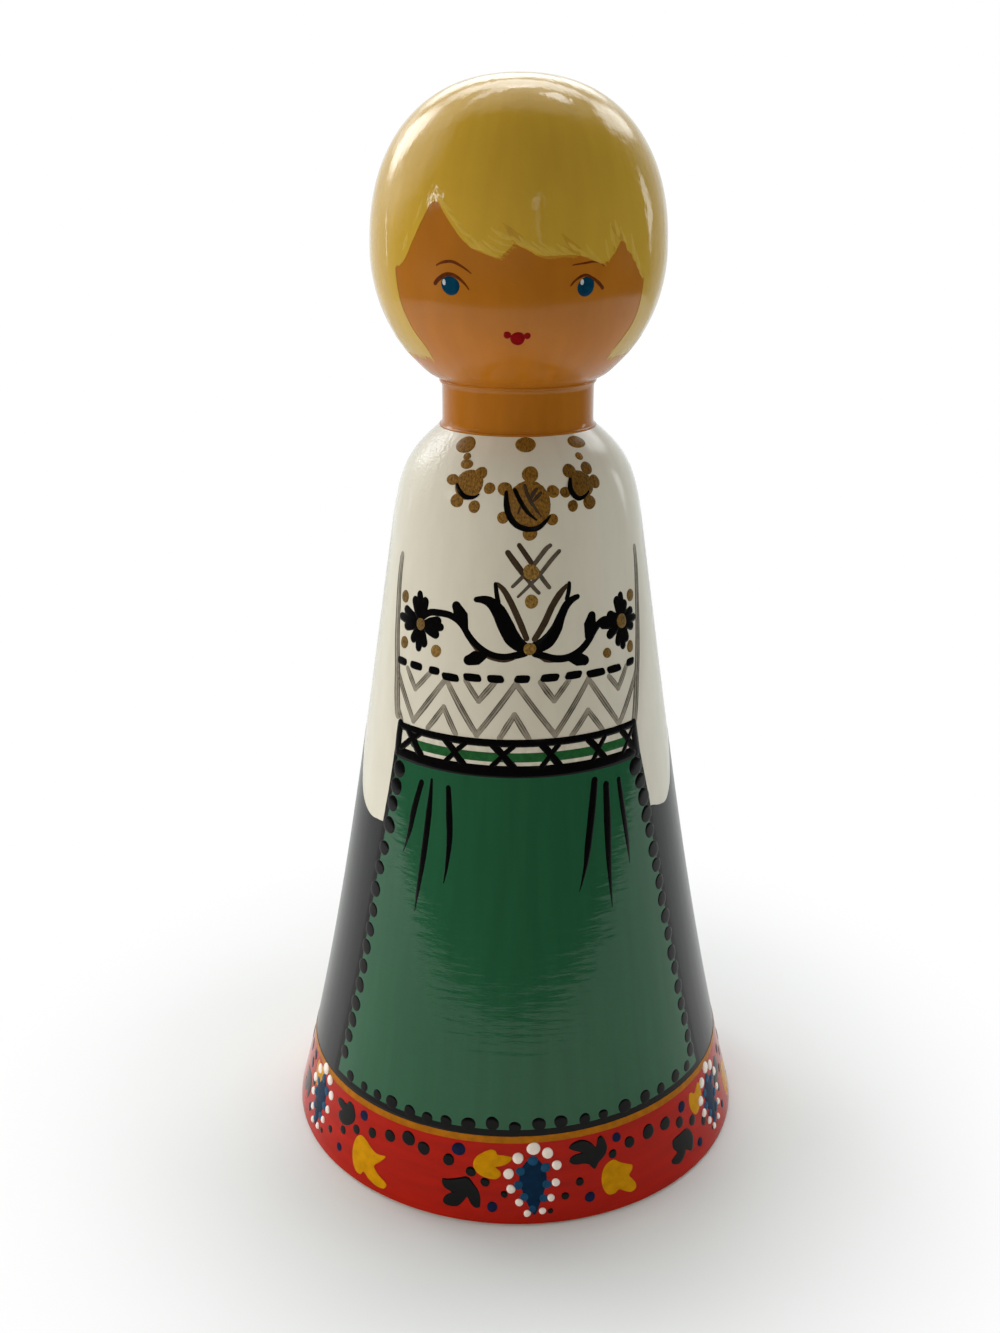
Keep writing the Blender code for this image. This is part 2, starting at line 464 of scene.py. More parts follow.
def opaque(colour, share=1.0):
    """A share of a colour, as a shader input takes it."""
    return (*(channel * share for channel in colour), 1.0)


# Materials

STREAK_DETAIL = 4.0
STREAK_RANGE = (0.33, 0.70)  # noise between which a paint goes from its colour to the deeper one
MARK_DETAIL = 3.0
WAVE_FINENESS = 150.0  # slow waves of the lacquer in a metre
WAVE_DETAIL = 2.5


def paint_material(name, colour, share, streaks, gloss, shine, marks=None, ripple=0.0, glow=None):
    """Glossy brushed paint that varies from a colour to a share of it in streaks.

    streaks says how fine they are round the doll and up it. marks gives the same for the brush marks in
    the surface, then their depth, and ripple is the depth of the lacquer's slow waves, both in metres.
    glow is painted light: a lighter tint laid over the lower part, where light from below falls, and the
    heights in metres between which it comes in.
    """
    material, tree, shader = new_material(name)
    shader.inputs["Roughness"].default_value = gloss
    shader.inputs["Specular IOR Level"].default_value = shine
    shades = noise(tree, lathe_coordinates(tree, *streaks), 1.0, STREAK_DETAIL)
    amount = ranged(tree, shades, *STREAK_RANGE, ease="LINEAR")
    surface = mixed_colour(tree, amount, opaque(colour), opaque(colour, share))
    # Painted light: the lower part is tinted lighter, as if lit from below
    if glow:
        tint, start, end = glow
        height = add_node(tree, "SeparateXYZ", {0: object_place(tree)}).outputs["Z"]
        surface = mixed_colour(tree, ranged(tree, height, start, end), surface, opaque(tint), "MULTIPLY")
    tree.links.new(surface, shader.inputs["Base Color"])
    if marks:
        *fineness, depth = marks
        ridges = noise(tree, lathe_coordinates(tree, *fineness), 1.0, MARK_DETAIL)
        brushed = add_node(tree, "Bump", {"Height": ridges, "Distance": depth}).outputs[0]
        waves = noise(tree, object_place(tree), WAVE_FINENESS, WAVE_DETAIL)
        relief = add_node(tree, "Bump", {"Height": waves, "Distance": ripple, "Normal": brushed})
        tree.links.new(relief.outputs[0], shader.inputs["Normal"])
    return material


GRAIN_FROM = (-0.012, 0.192)  # x and z in metres where the grain starts
GRAIN_FULL = (-0.020, 0.203)  # and where it is full
GRAIN_FINENESS = 1300.0  # specks in a metre
GRAIN_DEPTH = 0.00016  # metres


def add_grain(material):
    """Break the lacquer high on the viewer's left into the fine grain that catches the light there."""
    tree = material.node_tree
    normal = tree.nodes["Principled BSDF"].inputs["Normal"]
    place = object_place(tree)
    axes = add_node(tree, "SeparateXYZ", {0: place}).outputs
    shares = [
        ranged(tree, axes[axis], start, full, ease="LINEAR")
        for axis, start, full in zip("XZ", GRAIN_FROM, GRAIN_FULL)
    ]
    strength = number_math(tree, "MULTIPLY", *shares)
    specks = noise(tree, place, GRAIN_FINENESS, 1.0)
    links = {"Strength": strength, "Height": specks, "Distance": GRAIN_DEPTH}
    grain = add_node(tree, "Bump", {**links, "Normal": normal.links[0].from_socket})
    tree.links.new(grain.outputs[0], normal)


WOOD = (0.52, 0.34, 0.17)
WOOD_DEEP = 0.62  # share of the colour in the dark rings
WOOD_ROUGHNESS = 0.6
PITH = (0.03, 0.018, 0.0)  # how far the rings' middle lies off the axis, metres
GRAIN_STRETCH = (1.0, 1.0, 0.06)  # along the axis the grain hardly changes
RINGS = {"Scale": 90.0, "Distortion": 2.5, "Detail": 3.0, "Detail Scale": 1.2}
RING_DEPTH = 0.0001  # metres


def bare_wood():
    """Unfinished turned wood with grain along the axis and rings on the cut ends."""
    material, tree, shader = new_material("bare_wood")
    shader.inputs["Roughness"].default_value = WOOD_ROUGHNESS
    links = {"Vector": object_place(tree), "Location": PITH, "Scale": GRAIN_STRETCH}
    place = add_node(tree, "Mapping", links).outputs[0]
    links = {"Vector": place, **RINGS}
    rings = add_node(tree, "TexWave", links, wave_type="RINGS", rings_direction="Z").outputs["Fac"]
    colour = mixed_colour(tree, rings, opaque(WOOD), opaque(WOOD, WOOD_DEEP))
    tree.links.new(colour, shader.inputs["Base Color"])
    relief = add_node(tree, "Bump", {"Height": rings, "Distance": RING_DEPTH})
    tree.links.new(relief.outputs[0], shader.inputs["Normal"])
    return material


WHITE = (0.615, 0.573, 0.475)
FLESH = (0.37, 0.127, 0.010)
FACE_PAINTED_LIGHT = ((1.26, 1.22, 1.1), 0.249, 0.231)  # painted light: the lower face's lighter tint, for light from the table below it, and where it starts and is full
SHINE = 0.33  # specular level of the lacquer
PAINT_SHINE = 0.16  # and of the strokes painted on it
DULL_SHINE = 0.05  # and of the duller colours on hem and face
# Lacquers of the coats, as paint_material takes them. Colours here and below are linear
LACQUERS = {
    "white_lacquer": (WHITE, 0.95, (9.0, 60.0), 0.12, SHINE, (16.0, 60.0, 3e-5), 8e-5),
    "skirt_lacquer": ((0.012, 0.012, 0.013), 0.5, (24.0, 22.0), 0.2, 0.2, (24.0, 30.0, 2e-5), 2e-5),
    "hem_lacquer": ((0.37, 0.008, 0.001), 0.8, (4.0, 420.0), 0.12, 0.12, (4.0, 400.0, 1e-5), 2e-5),
    "apron_lacquer": ((0.0148, 0.087, 0.038), 0.88, (14.0, 26.0), 0.08, SHINE, (5.0, 600.0, 5e-5), 6e-5),
    "flesh_lacquer": (FLESH, 0.9, (7.0, 70.0), 0.09, 0.29, (5.0, 300.0, 1e-5), 5e-5),
    # The face's lacquer carries painted light: its lower part is tinted lighter, as if lit from the table
    # below
    "face_lacquer": (FLESH, 0.9, (7.0, 70.0), 0.15, 0.29, (5.0, 300.0, 1e-5), 5e-5, FACE_PAINTED_LIGHT),
    "hair_lacquer": ((0.508, 0.311, 0.0325), 0.94, (12.0, 60.0), 0.06, 0.5, (14.0, 40.0, 5e-5), 2e-4),
}
# Paints of strokes and dots: colour, the share of it in the deeper streaks, and specular level
LINE_PAINTS = {
    "black_paint": ((0.0025, 0.002, 0.002), 0.6, PAINT_SHINE),
    "grey_wash": ((0.29, 0.255, 0.20), 0.75, PAINT_SHINE),
    "grey_streak": ((0.116, 0.102, 0.08), 0.6, PAINT_SHINE),
    "brown_wash": ((0.050, 0.031, 0.017), 0.7, PAINT_SHINE),
    "pale_wash": ((0.10, 0.078, 0.054), 0.6, PAINT_SHINE),
    "gold_paint": ((0.38, 0.128, 0.004), 0.7, DULL_SHINE),
    "belt_white": (WHITE, 0.8, PAINT_SHINE),
    "belt_green": ((0.018, 0.105, 0.03), 0.6, PAINT_SHINE),
    "navy_paint": ((0.002, 0.021, 0.058), 0.6, DULL_SHINE),
    "steel_blue_paint": ((0.012, 0.070, 0.15), 0.6, DULL_SHINE),
    "blue_paint": ((0.008, 0.012, 0.045), 0.6, DULL_SHINE),
    "pearl_paint": ((0.82, 0.73, 0.66), 0.85, PAINT_SHINE),
    "yellow_paint": ((0.54, 0.24, 0.0), 0.75, DULL_SHINE),
    "tip_blond": ((0.53, 0.343, 0.05), 0.9, PAINT_SHINE),
    "fringe_brown": ((0.41, 0.195, 0.017), 0.9, PAINT_SHINE),
    "parting_brown": ((0.455, 0.258, 0.027), 0.85, PAINT_SHINE),
    "iris_blue": ((0.002, 0.042, 0.085), 0.6, DULL_SHINE),
    "glint_white": ((0.50, 0.52, 0.52), 0.8, PAINT_SHINE),
    "lid_brown": ((0.12, 0.026, 0.003), 0.5, PAINT_SHINE),
    "brow_brown": ((0.15, 0.032, 0.004), 0.6, PAINT_SHINE),
    "mouth_red": ((0.225, 0.001, 0.002), 0.7, DULL_SHINE),
}
LINE_STREAKS = (26.0, 520.0)
LINE_GLOSS = 0.16
BRONZE = (0.188, 0.0896, 0.0136)
PALE_BRONZE = (0.2068, 0.11376, 0.02384)
# Bronze powder paints: colour, and how much brighter than that the bright flecks are
BRONZES = {
    # Painted light and shade: the brooches lit from the left and middle take bronze with the higher gain,
    # the brooch on the viewer's right the same bronze without it, as painted shade
    "bronze_paint": (BRONZE, 1.42),
    "shaded_bronze": (BRONZE, 1.0),
    "pale_bronze": (PALE_BRONZE, 1.5),
    # The flower dots take a dimmer copy of the pale bronze than the pale dots
    "dim_pale_bronze": (PALE_BRONZE, 1.0),
}
FLECKS = (80.0, 1700.0)  # how fine the flecks are, round the doll and up it
FLECK_SHARE = 0.25  # the dark flecks' share of the bright
BRONZE_GLOSS = 0.34

paints = {name: paint_material(name, *row) for name, row in LACQUERS.items()}
add_grain(paints["white_lacquer"])
for name, (colour, share, shine) in LINE_PAINTS.items():
    paints[name] = paint_material(name, colour, share, LINE_STREAKS, LINE_GLOSS, shine)
for name, (colour, gain) in BRONZES.items():
    bright = [channel * gain for channel in colour]
    paints[name] = paint_material(name, bright, FLECK_SHARE, FLECKS, BRONZE_GLOSS, PAINT_SHINE)


# Costume

SLEEVE_END = (
    (-180, 130), (-125, 130), (-106, 128.8), (-92, 124.5), (-82, 118), (-74.5, 110), (-70, 106.7),
    (-65, 104.8), (-60, 104), (-56, 104.3), (-50, 105), (-40, 106), (40, 108), (54.3, 109.2), (58, 108.3),
    (62, 107.4), (66, 107.2), (70, 108.6), (73.5, 110.5), (82, 118), (92, 124.5), (106, 128.8), (125, 130),
    (180, 130),
)
SLEEVE_STEP = 1.0
HEM_TOP = 23.7
HEM_TILT = 1.1  # the painter's ring stands this much higher on the viewer's right
GOLD_HALF = 0.95  # half the width of the gold ring
GOLD_ABOVE = 0.5  # its middle stands this much above the edge of the red


def hem_line(turn):
    """Height of the ring between skirt and hem at a turn."""
    return HEM_TOP + HEM_TILT * np.sin(np.radians(turn))


def paint_coats():
    """First coat of white, the black skirt, the red hem and the gold ring between them."""
    turns, heights = smooth_line(SLEEVE_END, SLEEVE_STEP)[0].T

    def under_sleeves(turn, length):
        return body.up(np.interp(turn, turns, heights)) - length

    def under_ring(turn, length):
        return body.up(hem_line(turn)) - length

    def on_ring(turn, length):
        return GOLD_HALF - np.abs(length - body.up(hem_line(turn) + GOLD_ABOVE))

    for name, paint, inside, span, top, spacing in (
        ("blouse", "white_lacquer", everywhere, (100.0, 211.2), FIRST_COAT, 1.6),
        ("skirt", "skirt_lacquer", under_sleeves, (20.0, 131.0), SKIRT_COAT, 1.6),
        ("hem_band", "hem_lacquer", under_ring, (0.0, 26.0), HEM_COAT, 1.3),
        ("gold_line", "gold_paint", on_ring, (20.0, 28.0), HEM_COAT + STROKE_RISE, 0.5),
    ):
        paint_piece(name, paint, coat, body, inside, span, top, spacing)


APRON_LEFT = (
    (-47.7, 126), (-48.7, 115), (-50.1, 104), (-51.3, 93), (-52.5, 80), (-54, 60), (-55.8, 40), (-57, 26.5),
)
APRON_RIGHT = (
    (60, 27.9), (58.8, 40), (57.2, 60), (55.3, 78), (54, 93), (52.5, 104), (51, 114), (48.7, 126),
)
APRON_FOOT = ((-30, 26.7), (0, 27.0), (30, 27.5))
APRON_MARGIN = 2.2  # degrees of black beyond the green on each side
BACKING_START = ((-49.5, 134.3),)
BACKING_FOOT = ((-59, 25), (0, 25.2), (62, 26))
BACKING_END = ((50.3, 134.6),)
SIDE_SCALLOPS = (
    (-46.3, 121.5), (-47, 116.4), (-48, 111.2), (-48.5, 104.8), (-49.8, 97.7), (-51, 91.5), (-51.8, 84.8),
    (-51.6, 78.5), (-52, 72.5), (-52.5, 67), (-52.8, 61), (-53.2, 55), (-53.8, 49), (-54.2, 43.7),
    (-54.7, 38.5), (-55.3, 33), (47.5, 122.3), (49.4, 117.7), (50.3, 112.8), (51, 107.7), (51.8, 102.7),
    (52.7, 96.8), (53.4, 92), (54, 86.7), (54.2, 81.5), (55, 76), (55.3, 70.5), (55.7, 64.5), (56.4, 59.5),
    (56.8, 53.5), (57, 48), (57.6, 43), (57.8, 37.5), (58, 33),
)
SCALLOP_SIZE = 1.95
SCALLOP_GROWTH = 0.004  # for each millimetre of height
SCALLOP_SPREAD = (-0.25, 0.15)
BOTTOM_SCALLOPS = (
    (-50.9, 27.8, 1.7), (-44.6, 27.8, 1.45), (-39.4, 27.8, 1.5), (-34.4, 27.8, 1.95), (-28.5, 27.3, 1.75),
    (-23.3, 27.1, 1.6), (-18, 27.5, 1.6), (-12, 27.7, 1.95), (-5.8, 28.6, 1.85), (0, 27.8, 1.6),
    (6.2, 28.5, 1.85), (11.9, 28.6, 1.85), (18.3, 28.3, 1.6), (23.5, 28.4, 1.4), (30, 28.8, 2.0),
    (36.8, 29, 1.85), (42.6, 28.9, 1.6), (49, 29.6, 1.85), (54.8, 29.6, 1.6),
)
# A stroke in a table is its path and its width, or its widths along the path
PLEATS = (
    (((-35, 120), (-37.5, 111), (-38.3, 106), (-40.2, 99.5)), (1.7, 2.0, 1.5, 0.3)),
    (((-30.8, 121.5), (-31, 112), (-31.8, 100), (-32.8, 90), (-33.3, 84)), (0.9, 2.0, 1.9, 1.1, 0.25)),
    (((-24, 120.2), (-23, 112), (-22.5, 106), (-23, 98), (-23.6, 94)), (1.6, 2.0, 1.7, 0.9, 0.25)),
    (((28.2, 121.9), (26.5, 114), (24.2, 104), (23, 99), (20.5, 92.3)), (2.1, 2.3, 2.0, 1.2, 0.25)),
    (((32.8, 120), (32.3, 110), (31.8, 100), (31.7, 86)), (2.1, 2.4, 1.8, 0.25)),
    (((38.5, 120.4), (39.3, 112), (40, 104), (40.2, 96.5)), (1.6, 1.8, 1.4, 0.25)),
)


def paint_apron():
    """Green apron with a black scalloped edge and gathers under the belt."""
    left = tuple((turn - APRON_MARGIN, height) for turn, height in APRON_LEFT)
    right = tuple((turn + APRON_MARGIN, height) for turn, height in APRON_RIGHT)
    backing = region(body, BACKING_START + left + BACKING_FOOT + right + BACKING_END)
    green = region(body, APRON_LEFT + APRON_FOOT + APRON_RIGHT)
    for name, paint, inside, span, top, turns in (
        ("apron_edge", "black_paint", backing, (24.0, 136.0), APRON_EDGE_COAT, (-64.0, 66.0)),
        ("apron", "apron_lacquer", green, (24.0, 128.0), APRON_COAT, (-60.0, 62.0)),
    ):
        paint_piece(name, paint, coat, body, inside, span, top, spacing=0.9, turns=turns)

    scallops = Paint()
    for turn, height in SIDE_SCALLOPS:
        size = SCALLOP_SIZE + SCALLOP_GROWTH * height + brush.uniform(*SCALLOP_SPREAD)
        dot(scallops, body, turn, height, size, APRON_COAT)
    dots(scallops, body, BOTTOM_SCALLOPS, APRON_COAT)
    scallops.piece("apron_dots", "black_paint")
    paint_piece("apron_gathers", "black_paint", strokes, body, PLEATS, APRON_COAT)


BELT_OUTLINE = ((-48, 134), (0, 134), (48.5, 134.4), (49, 127), (0, 127), (-48, 126.5))
# Level strokes: the turns they pass through, the height in front, the climb in a degree and the width
BELT_STRIPE = (range(-40, 45, 4), 130.1, 0.004, 2.5)
BELT_EDGES = ((range(-48, 49, 3), 133.9, 0.007, 1.9), (range(-47, 49, 3), 126.25, 0.003, 3.0))
BELT_ENDS = (
    (((-48, 134), (-48.2, 130), (-48, 126)), 2.3),
    (((48.6, 134.2), (48.5, 130), (48.8, 126)), 2.4),
)
# Crosses: turns of the heavy stroke's top and foot and of the light one's, then the two widths
CROSSES = (
    (-43.5, -36.6, -37.6, -46.4, 2.4, 1.7), (-26.6, -19, -18.5, -25.8, 1.95, 1.35),
    (-8.4, -1, -1, -8.8, 1.95, 1.35), (9.2, 15.3, 15.2, 8.8, 1.95, 1.35),
    (26.8, 33, 33.6, 28, 1.95, 1.35), (42, 47, 47.8, 41.6, 1.95, 1.35),
)
HEAVY_HEIGHTS = (133.4, 130.6, 127.4)
LIGHT_HEIGHTS = (133.2, 130.5, 127.4)


def paint_belt():
    """White belt with a green stripe, black edges and a row of crosses."""
    def level(turns, height, climb, width):
        return [(turn, height + climb * turn) for turn in turns], width

    def leaning(top, foot, heights, width):
        return list(zip((top, (top + foot) / 2.0, foot), heights)), width

    ground = {"heights": (125.0, 136.0), "top": BELT_COAT, "spacing": 0.8, "turns": (-51.0, 52.0)}
    paint_piece("belt_ground", "belt_white", coat, body, region(body, BELT_OUTLINE), **ground)
    paint_piece("belt_stripe", "belt_green", strokes, body, [level(*BELT_STRIPE)], BELT_COAT)
    lines = [level(*edge) for edge in BELT_EDGES]
    for heavy_top, heavy_foot, light_top, light_foot, thick, thin in CROSSES:
        lines.append(leaning(heavy_top, heavy_foot, HEAVY_HEIGHTS, thick))
        lines.append(leaning(light_top, light_foot, LIGHT_HEIGHTS, thin))
    lines.extend(BELT_ENDS)
    paint_piece("belt_lines", "black_paint", strokes, body, lines, BELT_LINE_COAT)


ZIGZAG = (
    (-54.5, 149), (-41.5, 136), (-27.8, 149.5), (-14.5, 135.7), (-0.3, 149.8), (14, 135.8), (28.2, 149.6),
    (41, 135.5), (53.5, 148),
)
ZIGZAG_WIDTH = 1.55
INNER_VEES = (
    ((-47.3, 149.5), (-42, 144.8), (-35.5, 150)), ((-19.5, 149.8), (-14.2, 144.8), (-8, 150.2)),
    ((9, 150), (14, 145), (20, 150)), ((37.8, 149), (42.1, 145.2), (47.5, 150.3)),
    ((-34.3, 135.3), (-28, 141.8), (-22.6, 135.3)), ((-6, 135.3), (-0.8, 141.5), (4.3, 135.2)),
    ((20.3, 135.2), (27.3, 141.2), (33, 135.2)), ((-50, 137.5), (-48, 135.3)),
)
VEE_WIDTH = 1.5
SLEEVE_LINES = (
    ((-60, 178.5), (-59.8, 172), (-58.2, 164), (-56.3, 156), (-54, 149), (-52.3, 142), (-50.5, 136)),
    ((63.2, 180.3), (62.5, 175), (60.5, 168), (58.3, 160), (55.8, 152), (53.5, 146), (51.5, 140),
     (49.5, 135)),
)
SLEEVE_LINE_WIDTH = 2.3
STREAK_SIDES = (-0.40, 0.04, 0.40)  # where a wash's streaks run, as shares of its width
STREAK_DRIFT = 0.08  # how far they stray from there
STREAK_STARTS = (0.02, 0.2)  # shares of a straight wash where they start
STREAK_STOPS = (0.75, 0.98)  # and stop
STREAK_WIDTHS = (0.16, 0.28)  # their own width, as a share of the wash's
STREAK_TIP = 0.12
# Dashes: first and last turn, and height
DASHES = (
    (-54.3, -48.2, 150.9), (-46, -39.4, 151), (-36, -30.9, 151), (-29.5, -22.6, 150.1),
    (-20.4, -13.7, 150.8), (-11, -5, 150.9), (-1, 5.1, 151.0), (8.8, 16.4, 151.1), (18.5, 25.7, 151.2),
    (27.8, 35.8, 150.8), (37.4, 44.2, 150.7), (47.5, 53, 151.1),
)
DASH_HALF = 0.98  # half the thickness of a dash
DASH_CORNER = 0.5  # height of its blunt corners
DASH_BEND = 0.7  # and their width in degrees
DASH_LEAN = 0.5  # degrees its ends may lean


def toward(start, end, share):
    """The place a share of the way from one place to another."""
    return tuple(a + (b - a) * share for a, b in zip(start, end))


def wash(light, dark, skin, path, width):
    """Add a thin wash: a pale stroke with the darker streaks that a brush's hairs leave along it."""
    stroke(light, skin, path, width)
    degree = skin.degree(skin.up(path[0][1]))
    run = (path[-1][0] - path[0][0]) * degree
    climb = path[-1][1] - path[0][1]
    reach = math.hypot(run, climb)
    for side in STREAK_SIDES:
        shift = width * (side + brush.uniform(-STREAK_DRIFT, STREAK_DRIFT))
        across = (-climb / reach * shift / degree, run / reach * shift)
        shifted = [(turn + across[0], height + across[1]) for turn, height in path]
        start = brush.uniform(*STREAK_STARTS)
        stop = brush.uniform(*STREAK_STOPS)
        if len(path) == 2:
            shifted = [toward(*shifted, share) for share in (start, (start + stop) / 2.0, stop)]
        middle = width * brush.uniform(*STREAK_WIDTHS)
        widths = [STREAK_TIP] + [middle] * (len(shifted) - 2) + [STREAK_TIP]
        stroke(dark, skin, shifted, widths, FIRST_COAT + STROKE_RISE, STREAK_RISE)


def paint_waist():
    """Grey zigzag and sleeve lines, and the row of black dashes above the zigzag."""
    washes = [(path, ZIGZAG_WIDTH) for path in zip(ZIGZAG, ZIGZAG[1:])]
    washes += [(path, VEE_WIDTH) for vee in INNER_VEES for path in zip(vee, vee[1:])]
    washes += [(path, SLEEVE_LINE_WIDTH) for path in SLEEVE_LINES]
    pale, streaks = Paint(), Paint()
    for path, width in washes:
        wash(pale, streaks, body, path, width)
    pale.piece("zigzag", "grey_wash")
    streaks.piece("zigzag_streaks", "grey_streak")

    dashes = Paint()
    for start, end, height in DASHES:
        lean = brush.uniform(-DASH_LEAN, DASH_LEAN)
        low, high = height - DASH_HALF, height + DASH_HALF
        outline = (
            (start + DASH_BEND, low), (start, low + DASH_CORNER),
            (start + lean, high - DASH_CORNER), (start + lean + DASH_BEND, high),
            (end - DASH_BEND, high), (end, high - DASH_CORNER),
            (end - lean, low + DASH_CORNER), (end - lean - DASH_BEND, low),
        )
        blob(dashes, body, outline, FIRST_COAT + STROKE_RISE, STROKE_RISE)
    dashes.piece("dashes", "black_paint")


TULIP = (
    (((2.5, 159.3), (-1.5, 161.5), (-4.5, 165), (-7.5, 168.7), (-11.3, 171), (-16.6, 171.3)),
     (3.2, 4.2, 4.3, 3.8, 2.8, 1.5)),
    (((7.5, 159.3), (12, 160.8), (15.6, 163.8), (18, 167.2), (20.8, 170.1), (25.2, 171.6)),
     (3.2, 3.7, 3.1, 2.4, 2.2, 1.5)),
    (((-8.8, 175.6), (-8.4, 173.5), (-7.6, 171)), (1.1, 1.2, 1.3)),
    (((21.9, 175.3), (21.6, 173.6), (20.6, 171.4)), (1.1, 1.2, 1.2)),
)
INNER_PETALS = (
    (((-8, 175.6), (-5.5, 174.2), (-3, 171.6), (-0.5, 168.3), (1.7, 165), (3.7, 161.7)),
     (1.1, 1.5, 1.7, 1.7, 1.7, 1.5)),
    (((7, 161.5), (10.8, 165.4), (14.3, 169.8), (17.6, 172.8), (20.8, 174.8)), (1.6, 1.8, 1.8, 1.8, 1.1)),
)
STEM_SHADES = (
    (((-20, 161.6), (-15.2, 158.4), (-10, 156.6), (-5, 156.0), (-1, 156.5)), (0.8, 1.6, 1.5, 1.4, 0.8)),
    (((8.4, 157.0), (11, 156.0), (14, 155.4)), (0.8, 1.5, 0.8)),
)
STEMS = (
    (((3, 157.8), (0, 157.3), (-5, 156.7), (-10, 157.2), (-15, 159), (-19, 161.5), (-21.5, 163.8),
      (-24, 165.3), (-28, 166.4), (-33, 166.5), (-38, 166), (-42, 164)), 1.9),
    (((7, 157.7), (10, 157), (15, 156), (20, 156), (25, 157.3), (29, 159.5), (32, 162), (35, 163.8),
      (38, 164.3), (44, 163)), 2.0),
)
LEAVES = (
    (((-12.3, 157.4), (-15.8, 156.1), (-18.7, 155.3)), (2.2, 3.9, 2.8)),
    (((-21.2, 163.8), (-23, 166.5), (-25.1, 168.9)), (2.2, 4.2, 2.7)),
    (((20.8, 156), (24.2, 155.3), (26.8, 154.7)), (2.2, 3.8, 2.8)),
    (((29.5, 161), (30.5, 163.8), (31.4, 165.9)), (2.4, 3.9, 2.6)),
)
# A flower is its middle and, for each petal, the middle tip and the two side bumps
FLOWERS = (
    ((-42.2, 162.4), (
        ((-44.4, 171), (-47.3, 169), (-40.6, 169.5)), ((-56.2, 162.7), (-53, 165.3), (-51.5, 160.5)),
        ((-42.3, 155.3), (-46, 157.5), (-39.3, 157)), ((-30.8, 162.9), (-32.3, 164.5), (-33, 160.5)),
    )),
    ((47.2, 162.8), (
        ((48, 170.3), (45, 169.3), (50.3, 167.5)), ((35.5, 163), (40, 165.4), (39, 159.7)),
        ((56.6, 162.5), (54.5, 164.8), (54, 160.3)), ((46.8, 155.4), (44, 156.8), (49.5, 157.3)),
    )),
)
# Strokes from a flower's middle: shares of the way out, and the widths there
TIP_STROKE = ((0.12, 0.55, 0.88), (1.6, 3.1, 2.3))
BUMP_STROKE = ((0.1, 0.5, 0.85), (1.4, 2.7, 2.7))
FLOWER_DOTS = (
    (-42.2, 162.4, 1.55), (47.2, 162.8, 1.9), (-53.7, 168.3, 1.6), (-51, 156.1, 1.6), (54.8, 168.7, 1.6),
    (37.8, 155.4, 1.35), (51.2, 155.2, (1.35, 1.6)),
)
PALE_DOTS = ((5.8, 178.8, 2.0), (5.8, 171.2, 1.7), (5, 158.9, 1.6), (-33.3, 156.3, 1.6))


def paint_embroidery():
    """Black tulip, stems, leaves and two flowers across the chest, with bronze dots."""
    shades = INNER_PETALS + STEM_SHADES
    paint_piece("embroidery_shades", "brown_wash", strokes, body, shades, rise=SHADE_RISE)
    petals = []
    for middle, rows in FLOWERS:
        for row in rows:
            for end, (shares, widths) in zip(row, (TIP_STROKE, BUMP_STROKE, BUMP_STROKE)):
                petals.append(([toward(middle, end, share) for share in shares], widths))
    paint_piece("embroidery", "black_paint", strokes, body, [*TULIP, *STEMS, *LEAVES, *petals])
    # The flower dots are drawn in the dimmer copy of the pale bronze
    paint_piece("flower_dots", "dim_pale_bronze", dots, body, FLOWER_DOTS, FLOWER_DOT_COAT)
    paint_piece("pale_dots", "pale_bronze", dots, body, PALE_DOTS, FLOWER_DOT_COAT)


DARK_LACES = (
    (((-3.9, 183.7), (-1, 181.3), (2.4, 178.5), (5.4, 175.9)), (1.5, 1.7, 1.6, 0.9)),
    (((0.9, 185.6), (4, 182.9), (6.4, 180.7)), (1.3, 1.4, 1.3)),
)
PALE_LACES = (
    (((4.6, 176.6), (6.6, 174.9), (8.8, 173.4)), (1.1, 1.1, 1.0)),
    (((7.8, 179.6), (10.6, 176.9), (13.2, 174.7)), (1.1, 1.2, 1.1)),
    (((14.1, 185.4), (12, 184.4), (6.5, 180.4), (-1.8, 175.1)), (1.1, 1.3, 1.2, 0.9)),
    (((18, 183.8), (14, 181.4), (9.5, 178.2), (0.4, 172.5)), (1.1, 1.2, 1.1, 0.7)),
)
# Each brooch is a large dot and the small ones round it
BROOCHES = (
    (4.8, 195.7, 5.9), (6.3, 203, 2.1), (-6, 199.6, 1.75), (16.8, 198.8, 1.6), (-6.3, 192.6, 1.5),
    (15.6, 191.9, 1.45), (5.4, 188.6, 1.8),
    (-24, 200.2, 3.85), (-18.8, 203, 1.7), (-13.3, 199.6, 1.45), (-33.3, 200.9, (1.9, 1.4)),
    (-28.8, 196, 1.8), (-19.8, 194.9, 1.55),
)
RIGHT_BROOCH = (
    (32, 200, 3.6), (27.2, 203.3, 1.9), (38, 203.5, 1.75), (40.2, 200.1, 1.75), (22.8, 198.4, 1.4),
    (25.8, 194.9, 1.45), (34.8, 195.3, 1.85),
)
CHAIN_DOTS = (
    (5, 209.6, (2.6, 2.3)), (-34.2, 209, (2.8, 2.6)), (40.5, 209.4, (2.6, 2.0)), (-29.4, 206.5, (1.1, 1.0)),
    (-27.9, 204.8, (1.75, 1.35)), (36.6, 206.3, 1.1),
)
